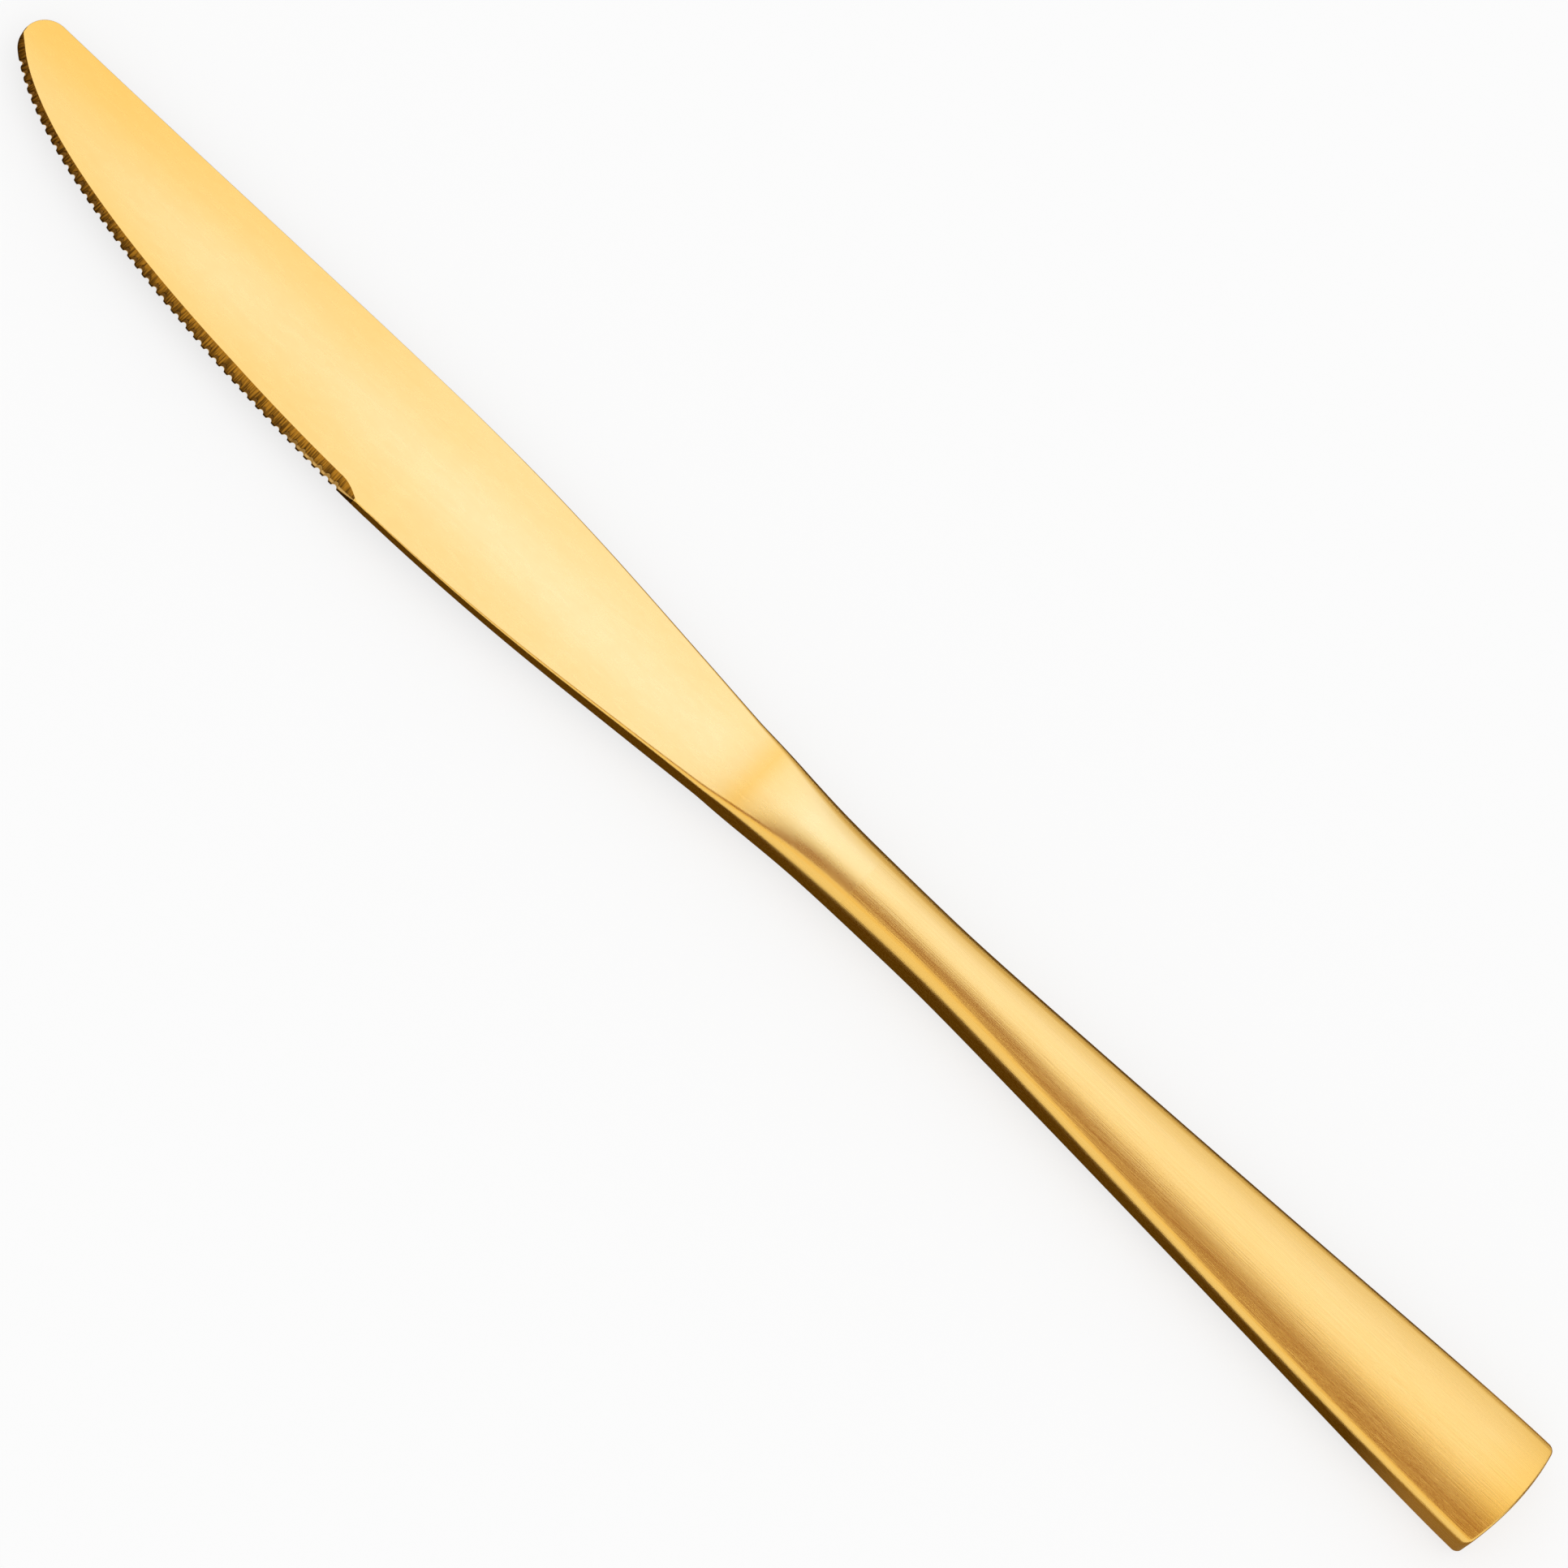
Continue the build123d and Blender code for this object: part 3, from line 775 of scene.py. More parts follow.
def gold_with_painted_highlight(finish, tree, cloud_size, cloud_stretch, tone):
    """The coating's colour, gold with a painted highlight that the clouds shift at random and a mottle of
    deep gold, and how mottled it is.
    """
    cloud = clouds(tree, cloud_size, cloud_stretch)
    sizes = {"Tip": TIP, "Length": LENGTH, "Highlight Width": finish.highlight_width}
    pale = place_group(tree, "Painted Highlight", painted_highlight_group, sizes)["Painted Highlight"]
    wander = ranged(tree, cloud["Cloud"], 0.0, 1.0, -CLOUD_DRIFT, CLOUD_DRIFT)
    painted_highlight = clamped(tree, math(tree, "ADD", pale, wander))
    # painted highlight: level faces go paler gold where they would mirror bright surroundings
    drift = mixed_colour(tree, painted_highlight, solid_colour(finish.gold), solid_colour(finish.highlight_gold))
    mottle = math(tree, "MULTIPLY", cloud["Mottle"], tone)
    return mixed_colour(tree, mottle, drift, solid_colour(finish.deep_gold)), cloud["Mottle"]


# The bevel's painted shade, dark at 0 and gold at 1: what it has at the foot, and what it gains up to the
# top.
BEVEL_FOOT_TONE = 0.06
BEVEL_TONE_RISE = 0.8
# Depths of a flute between which its wall takes a tone of its own, painted lighter than the bevel's painted
# shade, and that tone.
WALL_DEPTHS = (0.00004, 0.00012)
WALL_TONE = 0.3
# Shares of the bevel's height between which the painted highlight line comes in, and goes out again.
LINE_COMES = (0.0, 0.06)
LINE_GOES = (0.26, 0.18)
# How far from the edge's end the painted highlight line starts, and where it is whole.
LINE_START = 0.011
LINE_WHOLE = 0.007
WALL_METALLIC = 0.25  # of the flutes' walls and of the painted highlight line, which so mirror less of the dark floor


def grinding_and_painted_shade(finish, tree, marks, edge_length):
    """The bevel's colour, painted shade from dark at its foot to gold at its top under real grinding
    streaks, and a mask of what mirrors less.

    That is the flutes' walls, painted lighter, and a painted highlight along the bevel's foot near the heel.
    """
    bevel = mesh_value(tree, "bevel_share")
    streak = math(tree, "SUBTRACT", marks["Marks"], 0.5)
    rise = math(tree, "MULTIPLY", math(tree, "MINIMUM", bevel, 1.0), BEVEL_TONE_RISE)
    foot = math(tree, "MULTIPLY", ranged(tree, bevel, *LINE_COMES), ranged(tree, bevel, *LINE_GOES))
    wall = ranged(tree, mesh_value(tree, "flute_cut"), *WALL_DEPTHS)
    factor = math(tree, "ADD", math(tree, "ADD", rise, streak), BEVEL_FOOT_TONE)
    factor = math(tree, "MAXIMUM", factor, math(tree, "MULTIPLY", wall, WALL_TONE))
    held = clamped(tree, factor)
    # painted shade: the bevel darkens towards its foot, under the real grinding streaks
    tone = mixed_colour(tree, held, solid_colour(finish.bevel_painted_shade), solid_colour(finish.bevel_shaded_gold))
    near_heel = ranged(tree, mesh_value(tree, "run"), edge_length - LINE_START, edge_length - LINE_WHOLE)
    line = math(tree, "MULTIPLY", math(tree, "MAXIMUM", foot, wall), near_heel)
    # painted highlight: a bright line along the bevel's foot and on the flutes' walls near the heel
    lined = mixed_colour(tree, line, tone, solid_colour(finish.bevel_painted_highlight))
    return lined, math(tree, "MAXIMUM", line, wall)


def varied_roughness(tree, finish, value, less, more):
    """The coating's roughness, which a value carries from a little less to a little more."""
    return ranged(tree, value, 0.0, 1.0, finish.roughness - less, finish.roughness + more)


def blade_material(finish, edge_length):
    """Satin gold with a painted highlight on the blade's faces, and grinding marks over painted shade on its
    bevel.
    """
    material, tree, shader = new_material("Gold-coated blade steel")
    satin, mottle = gold_with_painted_highlight(finish, tree, cloud_size=0.012, cloud_stretch=2.6, tone=0.07)
    lines = brushed_lines(tree, line_length=0.012, line_width=0.00009, unevenness=0.7)
    marks = place_group(tree, "Grinding Marks", grinding_group, {"Mark Width": 0.0002, "Contrast": 0.09})
    ground, less_metal = grinding_and_painted_shade(finish, tree, marks, edge_length)
    feed(tree, shader.inputs["Base Color"], mixed_colour(tree, marks["Ground"], satin, ground))
    feed(tree, shader.inputs["Metallic"], ranged(tree, less_metal, 0.0, 1.0, 1.0, WALL_METALLIC))
    satin_rough = varied_roughness(tree, finish, mottle, less=0.01, more=0.03)
    ground_rough = math(tree, "MULTIPLY", marks["Ground"], 0.12)
    feed(tree, shader.inputs["Roughness"], math(tree, "ADD", satin_rough, ground_rough))
    scratches = math(tree, "MULTIPLY", lines["Height"], 0.5)
    grooves = math(tree, "MULTIPLY", math(tree, "MULTIPLY", marks["Height"], marks["Ground"]), 2.0)
    relief = math(tree, "ADD", scratches, grooves)
    add_bump(tree, shader, strength=finish.hairlines, distance=0.0001, height=relief)
    return material


HANDLE_CLOUDS = {"cloud_size": 0.010, "cloud_stretch": 5.0, "tone": 0.1}
HANDLE_LINES = {"line_length": 0.02, "line_width": 0.00011, "unevenness": 0.6}


def handle_material(finish):
    """Satin gold with a painted highlight on level faces, and hairlines along the handle."""
    material, tree, shader = new_material("Gold-coated handle steel")
    satin, _ = gold_with_painted_highlight(finish, tree, **HANDLE_CLOUDS)
    lines = brushed_lines(tree, **HANDLE_LINES)
    depth = math(tree, "MULTIPLY", lines["Shade"], 0.18)
    feed(tree, shader.inputs["Base Color"], mixed_colour(tree, depth, satin, solid_colour(finish.deep_gold)))
    shader.inputs["Metallic"].default_value = 1.0
    rough = varied_roughness(tree, finish, lines["Shade"], less=0.04, more=0.05)
    feed(tree, shader.inputs["Roughness"], rough)
    add_bump(tree, shader, strength=finish.hairlines, distance=0.0001, height=lines["Height"])
    return material


def solder_material(finish):
    """Hard solder under the same coating, with the same painted highlight, and fainter scratches than the
    steel beside it.
    """
    material, tree, shader = new_material("Gold-coated solder")
    satin, mottle = gold_with_painted_highlight(finish, tree, **HANDLE_CLOUDS)
    lines = brushed_lines(tree, **HANDLE_LINES)
    feed(tree, shader.inputs["Base Color"], satin)
    shader.inputs["Metallic"].default_value = 1.0
    rough = varied_roughness(tree, finish, mottle, less=0.0, more=0.05)
    feed(tree, shader.inputs["Roughness"], rough)
    add_bump(tree, shader, strength=finish.hairlines, distance=0.00008, height=lines["Height"])
    return material


PALE_CEMENT = (0.42, 0.40, 0.36)


def cement_material(finish):
    """Dull grey cement with grit in it."""
    material, tree, shader = new_material("Cast cement")
    cloud = clouds(tree, size=0.004, stretch=1.0)
    voronoi = add_node(tree, "ShaderNodeTexVoronoi", {"Vector": object_place(tree), "Scale": 2500.0})
    mask = ranged(tree, voronoi.outputs["Distance"], 0.12, 0.3, 1.0, 0.0)
    drift = math(tree, "MULTIPLY", cloud["Cloud"], 0.4)
    tone = mixed_colour(tree, drift, solid_colour(finish.cement), solid_colour(PALE_CEMENT))
    gritty = mixed_colour(tree, mask, tone, solid_colour(finish.cement_grit))
    feed(tree, shader.inputs["Base Color"], gritty)
    feed(tree, shader.inputs["Roughness"], ranged(tree, cloud["Mottle"], 0.0, 1.0, 0.75, 0.95))
    add_bump(tree, shader, strength=0.5, distance=0.0001, height=cloud["Mottle"])
    return material


# ---------------------------------------------------------------- the blade

PROBE = 1e-5  # half of the span over which the spine's slope is taken
STEPS_PER_TOOTH = 16
NOSE_STEPS = 30
HEEL_STEPS = 6
BACK_RINGS = 130
NOTCH_STEPS = 11


class EdgeCurve:
    """The blade's cutting edge seen from above, by distance along the belly from the nose's arc."""

    def __init__(self, size):
        self.radius = size.nose_radius
        self.wrap = size.nose_wrap
        self.centre = np.array([size.nose_radius, size.spine_at_nose - size.nose_radius])
        start = self.centre - self.radius * np.array([cos(self.wrap), sin(self.wrap)])
        heading = np.array([sin(self.wrap), -cos(self.wrap)])
        heel = np.array([size.heel_station, -size.heel_half_width])
        control = [start, start + heading * size.belly_ease_nose, heel - (size.belly_ease_heel, 0), heel]
        self.points = bezier(control, np.linspace(0.0, 1.0, EDGE_SAMPLES))
        steps = np.linalg.norm(np.diff(self.points, axis=0), axis=1)
        self.runs = np.concatenate([[0.0], np.cumsum(steps)])
        self.length = self.runs[-1]

    def at(self, run):
        """Points of the edge and the directions that point inward from it."""
        turn = self.wrap + np.minimum(run, 0.0) / self.radius
        on_arc = self.centre - self.radius * np.stack([np.cos(turn), np.sin(turn)], axis=1)
        arc_inward = (self.centre - on_arc) / self.radius
        on_belly = np.stack([np.interp(run, self.runs, self.points[:, axis]) for axis in (0, 1)], axis=1)
        on_belly[:, 0] += np.maximum(run - self.length, 0.0)
        slopes = np.gradient(self.points, self.runs, axis=0)
        heading = np.stack([np.interp(run, self.runs, slopes[:, axis]) for axis in (0, 1)], axis=1)
        heading /= np.linalg.norm(heading, axis=1)[:, None]
        belly_inward = np.stack([-heading[:, 1], heading[:, 0]], axis=1)
        nose = (run < 0)[:, None]
        return np.where(nose, on_arc, on_belly), np.where(nose, arc_inward, belly_inward)


def spine_at(size, station):
    """Points of the spine above the edge's points, and the directions that point inward from it."""
    radius = size.nose_radius
    turn = np.arccos(np.clip(1 - station / radius, -1.0, 1.0))
    top = (radius, size.spine_at_nose)
    heel = (size.heel_station, size.heel_half_width)
    third = (heel[0] - top[0]) / 3
    line = sweep(top, third, heel, third)
    straight = height_on(line, station)
    slope = (height_on(line, station + PROBE) - height_on(line, station - PROBE)) / (2 * PROBE)
    on_arc = station < radius
    y = np.where(on_arc, top[1] - radius + radius * np.sin(turn), straight)
    inward_x = np.where(on_arc, np.cos(turn), slope / np.sqrt(1 + slope**2))
    inward_y = np.where(on_arc, -np.sin(turn), -1 / np.sqrt(1 + slope**2))
    return np.stack([station, y], axis=1), np.stack([inward_x, inward_y], axis=1)


def tooth_pitch(edge, curve):
    """Distance between neighbouring flutes along the edge."""
    return (curve.length - edge.first_inset - edge.last_inset) / (edge.tooth_count - 1)


def blade_runs(size, edge, curve):
    """Distances along the edge at which the blade gets a section: dense enough to hold the flutes."""
    step = tooth_pitch(edge, curve) / STEPS_PER_TOOTH
    nose = np.linspace(-curve.radius * curve.wrap, 0.0, NOSE_STEPS)[:-1]
    belly = np.linspace(0.0, curve.length, round(curve.length / step) + 1)
    heel = curve.length + np.linspace(0.0, size.root_station - size.heel_station, HEEL_STEPS)[1:]
    return np.concatenate([nose, belly, heel])


# Stations between which the bevel turns from its angle at the nose to its angle at the heel.
BEVEL_TURN_START = 0.010
BEVEL_TURN_END = 0.042
OUT_OF_REACH = 1.0  # metres: a run and an inset that no flute reaches
NOT_GROUND = 40.0  # share of the bevel's height, 0 to 1 on the bevel, of a point that isn't ground


def plan(point, inward, depth):
    """Places in plan, each a depth inward from its own point of the outline."""
    return point[:, None, :] + inward[:, None, :] * depth[:, :, None]


def raised(flat, height):
    """Places in plan with their height."""
    return np.concatenate([flat, height[:, :, None]], axis=2)


def face_halves(size, thick, inner_edge, inner_spine, up):
    """Both halves of a broad face, from its middle to the edge and to the spine."""
    middle = (inner_edge + inner_spine) / 2
    halves = []
    for rim in (inner_edge, inner_spine):
        flat = middle[:, None, :] + (rim - middle)[:, None, :] * CROWN_SHARES[None, :, None]
        halves.append(raised(flat, up * half_thickness(size, thick, flat[:, :, 0])))
    return halves


def face_inset(inner_edge, inner_spine, rim_inset):
    """How far the points between a face's middle and its rim lie from the edge."""
    reach = np.linalg.norm(inner_edge - inner_spine, axis=1) / 2
    return rim_inset[:, None] + np.outer(reach, 1 - CROWN_SHARES[:-1])


def bevel_form(thick, edge, curve, run, station, thickness):
    """How wide the bevel is along the edge, how steep it is, and where the wheel touches the steel."""
    angles = [edge.bevel_at_nose, edge.bevel_at_heel]
    slope = np.tan(np.interp(station, [BEVEL_TURN_START, BEVEL_TURN_END], angles))
    # how far the wheel's path has left the edge, round the nose and at the heel
    off_nose = np.where(run < 0, curve.radius * (1 - np.cos(run / curve.radius)), 0.0)
    run_out = edge.run_out_length
    leave = [(-run_out, 0), (-run_out / 2, 0), (run_out / 4, edge.run_out_rise)]
    off = off_nose + height_on(leave, run - curve.length)
    width = (thickness + thick.blade / 2 - edge.land) / slope - off
    return np.maximum(width, thick.edge_softening), slope, width > thick.edge_softening


def fore_blade(size, thick, edge):
    """Rings of points over the ground part of the blade, with what the flutes and the finish need."""
    curve = EdgeCurve(size)
    run = blade_runs(size, edge, curve)
    edge_point, edge_inward = curve.at(run)
    spine_point, spine_inward = spine_at(size, edge_point[:, 0])
    thickness = half_thickness(size, thick, edge_point[:, 0])
    bevel, slope, ground = bevel_form(thick, edge, curve, run, edge_point[:, 0], thickness)
    soft = np.full(len(run), thick.edge_softening)
    ones = np.ones_like(run)
    at_edge = np.zeros((len(run), SIDE_STEPS))
    turn = CORNER_SHARES * pi / 2

    # upper edge side: face, bevel, land
    bevel_top = edge_point + edge_inward * bevel[:, None]
    spine_top = spine_point + spine_inward * soft[:, None]
    upper_face, upper_spine = face_halves(size, thick, bevel_top, spine_top, 1)
    bevel_depth = np.outer(bevel, 1 - CORNER_SHARES)
    bevel_height = upper_face[:, -1, 2][:, None] - np.outer(bevel * slope, CORNER_SHARES)
    land_top = bevel_height[:, -1]
    land_foot = soft - thickness
    land_middle = (land_top + land_foot) / 2
    land_height = land_top[:, None] + np.outer(land_middle - land_top, SIDE_SHARES)
    upper_bevel = raised(plan(edge_point, edge_inward, bevel_depth), bevel_height)
    upper_land = raised(plan(edge_point, edge_inward, at_edge), land_height)
    upper_edge = np.concatenate([upper_face, upper_bevel, upper_land], axis=1)

    # lower edge side: face, softened corner, foot of the land
    edge_foot = edge_point + edge_inward * soft[:, None]
    lower_face, lower_spine = face_halves(size, thick, edge_foot, spine_top, -1)
    corner_depth = np.outer(soft, 1 - np.sin(turn))
    corner_height = np.outer(soft, 1 - np.cos(turn)) - thickness[:, None]
    foot_height = land_foot[:, None] + np.outer(land_middle - land_foot, SIDE_SHARES)
    lower_corner = raised(plan(edge_point, edge_inward, corner_depth), corner_height)
    lower_land = raised(plan(edge_point, edge_inward, at_edge), foot_height)
    lower_edge = np.concatenate([lower_face, lower_corner, lower_land], axis=1)

    # spine side: both corners softened
    spine_height = np.outer(thickness - soft, 1 - SIDE_SHARES)
    spine_corner = raised(plan(spine_point, spine_inward, corner_depth), -corner_height)
    spine_wall = raised(plan(spine_point, spine_inward, at_edge), spine_height)
    turn_over = np.array([1.0, 1.0, -1.0])
    upper_spine = np.concatenate([upper_spine, spine_corner, spine_wall], axis=1)
    lower_spine = np.concatenate([lower_spine, spine_corner * turn_over, spine_wall * turn_over], axis=1)
    ring = ring_of([upper_edge, lower_edge, lower_spine, upper_spine])

    # what each point carries
    upper_far = face_inset(bevel_top, spine_top, bevel)
    lower_far = face_inset(edge_foot, spine_top, soft)
    upper_inset = np.hstack([upper_far, bevel[:, None], bevel_depth, at_edge])
    lower_inset = np.hstack([lower_far, soft[:, None], corner_depth, at_edge])
    far = np.full_like(lower_inset, OUT_OF_REACH)
    unground = np.full_like(lower_inset, NOT_GROUND)
    face_share = np.full((len(run), CROWN_STEPS), NOT_GROUND)
    upper_share = np.hstack([face_share, ones[:, None], np.outer(ones, 1 - CORNER_SHARES), at_edge])
    upper_share = np.where(ground[:, None], upper_share, NOT_GROUND)
    lower_share = unground.copy()
    lower_share[:, -SIDE_STEPS:] = np.where(ground[:, None], 0.0, NOT_GROUND)
    inward = np.hstack([edge_inward, np.zeros((len(run), 1))])
    marks = {
        "run": (np.repeat(run[:, None], ring.shape[1], axis=1), OUT_OF_REACH),
        "edge_inset": (ring_of([upper_inset, lower_inset, far, far]), OUT_OF_REACH),
        "edge_height": (ring[:, :, 2] + thick.blade / 2, 0.0),
        "bevel_share": (ring_of([upper_share, lower_share, unground, unground]), NOT_GROUND),
        "edge_inward": (np.repeat(inward[:, None, :], ring.shape[1], axis=1), 0.0),
    }
    return ring + np.array([TIP, 0.0, MIDDLE]), marks, curve


def tang_outline(inside, start):
    """The tang seen from above, with its pairs of round notches."""
    taper = (inside.tang_root - inside.tang_end) / inside.tang_length
    pitch = inside.tang_length / (inside.notch_pairs + 1)
    turns = np.linspace(pi, 0, NOTCH_STEPS)
    bite = inside.notch_radius
    upper = [(start, inside.tang_root)]
    for index in range(1, inside.notch_pairs + 1):
        middle = start + pitch * index
        rim = inside.tang_root - taper * pitch * index
        upper += [(middle + bite * cos(turn), rim - bite * sin(turn)) for turn in turns]
    upper.append((start + inside.tang_length, inside.tang_end))
    return upper + [(x, -y) for x, y in reversed(upper)]


def blade_piece(size, thick, edge, inside):
    """The whole forging: ground blade, ramp, bolster, spigot and tang."""
    ring, marks, curve = fore_blade(size, thick, edge)
    joint = MOUTH_LOW.x - TIP
    back = full_rings(size, thick, np.linspace(size.root_station, joint, BACK_RINGS)[1:])
    rows, columns = len(ring) + len(back), ring.shape[1]
    faces = tube_faces(rows, columns)

    # spigot and tang, hidden in the handle
    spigot_end = CORE_LOW.x - TIP
    spigot_inset = inside.wall + inside.filler_gap
    spigot = full_rings(size, thick, np.array([joint, spigot_end]), spigot_inset, inside.least_corner)
    faces += tube_faces(2, columns, first=rows * columns)
    outline = tang_outline(inside, spigot_end)
    half = inside.tang_thickness / 2
    tang = [(TIP + x, y, MIDDLE + up * half) for up in (1, -1) for x, y in outline]
    faces += tube_faces(2, len(outline), first=(rows + 2) * columns)
    points = np.concatenate([part.reshape(-1, 3) for part in (ring, back, spigot, np.array(tang))])

    # behind the ground part, every point carries one and the same value
    attributes = []
    for label, (values, filler) in marks.items():
        kind = "FLOAT" if values.ndim == 2 else "FLOAT_VECTOR"
        values = values.reshape(ring.shape[0] * columns, -1)
        rest = np.full((len(points) - len(values), values.shape[1]), filler)
        attributes.append((label, kind, np.concatenate([values, rest])))
    return make_piece("serrated_blade", points, faces, attributes), curve


class KNIFE_OT_blade(bpy.types.Operator):
    """Build the blade with its ground bevel, teeth, bolster and tang"""

    bl_idname = "knife.blade"
    bl_label = "Blade"

    def execute(self, context):
        scene = context.scene
        edge = scene.knife_edge
        piece, curve = blade_piece(scene.knife_outline, scene.knife_thickness, edge, scene.knife_inside)
        sizes = {
            "Teeth": edge.tooth_count,
            "First Tooth": edge.first_inset,
            "Tooth Pitch": tooth_pitch(edge, curve),
            "Tooth Depth": edge.tooth_depth,
            "Flute Radius": edge.flute_radius,
            "Nose Flute Radius": edge.nose_flute_radius,
            "Nose Tooth Radius": edge.nose_tooth_radius,
            "Flute Slope": tan(edge.flute_lean),
            "Crest Rounding": edge.crest_rounding,
            "Depth Variation": edge.depth_variation,
            "Seed": edge.seed,
        }
        modifier = piece.modifiers.new("Ground Flutes", "NODES")
        modifier.node_group = flute_tree(sizes)
        set_inputs(modifier, sizes | {"Material": blade_material(scene.knife_finish, curve.length)})
        to_plain_mesh(piece)
        finish_piece(piece, "blade")
        return {"FINISHED"}


# ---------------------------------------------------------------- the handle

HANDLE_RINGS = 190
RIM_STEPS = 8
BUTT_BLEND = 0.014  # length over which the rings lean more and more into the bowed butt
BUTT_FACE_SHARES = (0.03, 0.12, 0.4, 0.7, 1.0)  # of the way from the butt's rim down to the seam
CORNER_SHARE = 0.79  # of the butt corner's radius, drawn in where the handle's side meets the butt
INNER_RIM = 0.0001
INNER_CORNER = 0.0002


def shell_grid(size, thick, inset, least_corner, rim, corner):
    """One skin of the upper shell: from the mouth along the handle, over the rim and down the butt."""
    mouth = MOUTH_HIGH.x - TIP
    seam = SEAM_HIGH.z - MIDDLE
    bow_radius = (size.butt_half_width**2 + size.butt_bow**2) / (2 * size.butt_bow) - inset
    station = np.linspace(mouth, LENGTH - inset - rim, HANDLE_RINGS)
    y, z = quarter_sections(size, thick, station, inset, least_corner, seam)
    y = np.hstack([-y[:, ::-1], y[:, 1:]])
    z = np.hstack([z[:, ::-1], z[:, 1:]])
    # which way the last section faces, point by point
    tangent_y, tangent_z = np.gradient(y[-1]), np.gradient(z[-1])
    tangent_length = np.hypot(tangent_y, tangent_z)
    facing_y, facing_z = -tangent_z / tangent_length, tangent_y / tangent_length
    rounding = rim + (corner - rim) * facing_y**2

    def face_x(across):
        """Where the bowed butt lies."""
        return TIP + LENGTH - inset - (bow_radius - np.sqrt(bow_radius**2 - across**2))

    start = LENGTH - BUTT_BLEND
    blend = np.clip((station - start) / (station[-1] - start), 0.0, 1.0)[:, None] ** 2
    stop = face_x(y[-1]) - rounding
    x = TIP + station[:, None] + (stop - (TIP + station[-1]))[None, :] * blend
    skin = [np.stack([x, y, MIDDLE + z], axis=2)]
    for turn in np.linspace(0, pi / 2, RIM_STEPS)[1:]:
        draw_in = rounding * (1 - cos(turn))
        rim_y, rim_z = y[-1] - draw_in * facing_y, z[-1] - draw_in * facing_z
        rim_x = face_x(rim_y) - rounding * (1 - sin(turn))
        skin.append(np.stack([rim_x, rim_y, MIDDLE + rim_z], axis=1)[None])
    for part in BUTT_FACE_SHARES:
        flat_z = seam + (rim_z - seam) * (1 - part)
        skin.append(np.stack([face_x(rim_y), rim_y, MIDDLE + flat_z], axis=1)[None])
    return np.concatenate(skin)


def handle_skins(scene):
    """The outer and the inner skin of the upper shell."""
    size, thick, inside = scene.knife_outline, scene.knife_thickness, scene.knife_inside
    outer = shell_grid(size, thick, 0.0, 0.0, thick.rim_radius, CORNER_SHARE * size.butt_corner)
    inner = shell_grid(size, thick, inside.wall, inside.least_corner, INNER_RIM, INNER_CORNER)
    return outer, inner


# Each shell's name, the CAD node that it stands for, and which way up it lies.
SHELLS = (("upper_shell", "upper_handle_shell", 1), ("lower_shell", "lower_handle_shell", -1))


class KNIFE_OT_handle(bpy.types.Operator):
    """Build the two pressed shells of the handle"""

    bl_idname = "knife.handle"
    bl_label = "Handle shells"

    def execute(self, context):
        outer, inner = handle_skins(context.scene)
        faces = wall_faces(*outer.shape[:2])
        material = handle_material(context.scene.knife_finish)
        points = np.concatenate([outer.reshape(-1, 3), inner.reshape(-1, 3)])
        for name, node, up in SHELLS:
            turned = points.copy()
            turned[:, 2] = MIDDLE + up * (points[:, 2] - MIDDLE)
            finish_piece(make_piece(name, turned, faces), node, material)
        return {"FINISHED"}


def rim_path(skin):
    """The open rim of a shell's skin: one side, the butt and the other side."""
    return np.concatenate([skin[:, 0], skin[-1, 1:], skin[-2::-1, -1]])


class KNIFE_OT_solder(bpy.types.Operator):
    """Build the lines of solder between the shells and at the bolster"""

    bl_idname = "knife.solder"
    bl_label = "Solder"

    def execute(self, context):
        scene = context.scene
        size, thick, inside = scene.knife_outline, scene.knife_thickness, scene.knife_inside
        material = solder_material(scene.knife_finish)
        outer, inner = (rim_path(skin) for skin in handle_skins(scene))
        in_plan = np.array([1.0, 1.0, 0.0])
        foot = np.array([0.0, 0.0, SEAM_LOW.z])
        band = np.stack([outer, outer * in_plan + foot, inner * in_plan + foot, inner], axis=1)
        seam = make_piece("shell_seam", band.reshape(-1, 3), tube_faces(len(band), 4))
        finish_piece(seam, "seam_solder", material)

        stations = np.array([MOUTH_LOW.x - TIP, MOUTH_HIGH.x - TIP])
        rings = full_rings(size, thick, stations)
        bores = full_rings(size, thick, stations, inside.wall, inside.least_corner)
        collar = np.stack([rings[0], rings[1], bores[1], bores[0], rings[0]], axis=0)
        ring = make_piece("bolster_ring", collar.reshape(-1, 3), grid_faces(5, rings.shape[1], closed=True))
        finish_piece(ring, "neck_solder", material)
        return {"FINISHED"}


class KNIFE_OT_filler(bpy.types.Operator):
    """Give the cement inside the handle its finish"""

    bl_idname = "knife.filler"
    bl_label = "Filler"

    def execute(self, context):
        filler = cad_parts["handle_filler"]
        filler.material_slots[0].material = cement_material(context.scene.knife_finish)
        return {"FINISHED"}


# ---------------------------------------------------------------- the stage

GRAIN_SHADE = 0.985  # how dark the floor's grain is beside its own tone


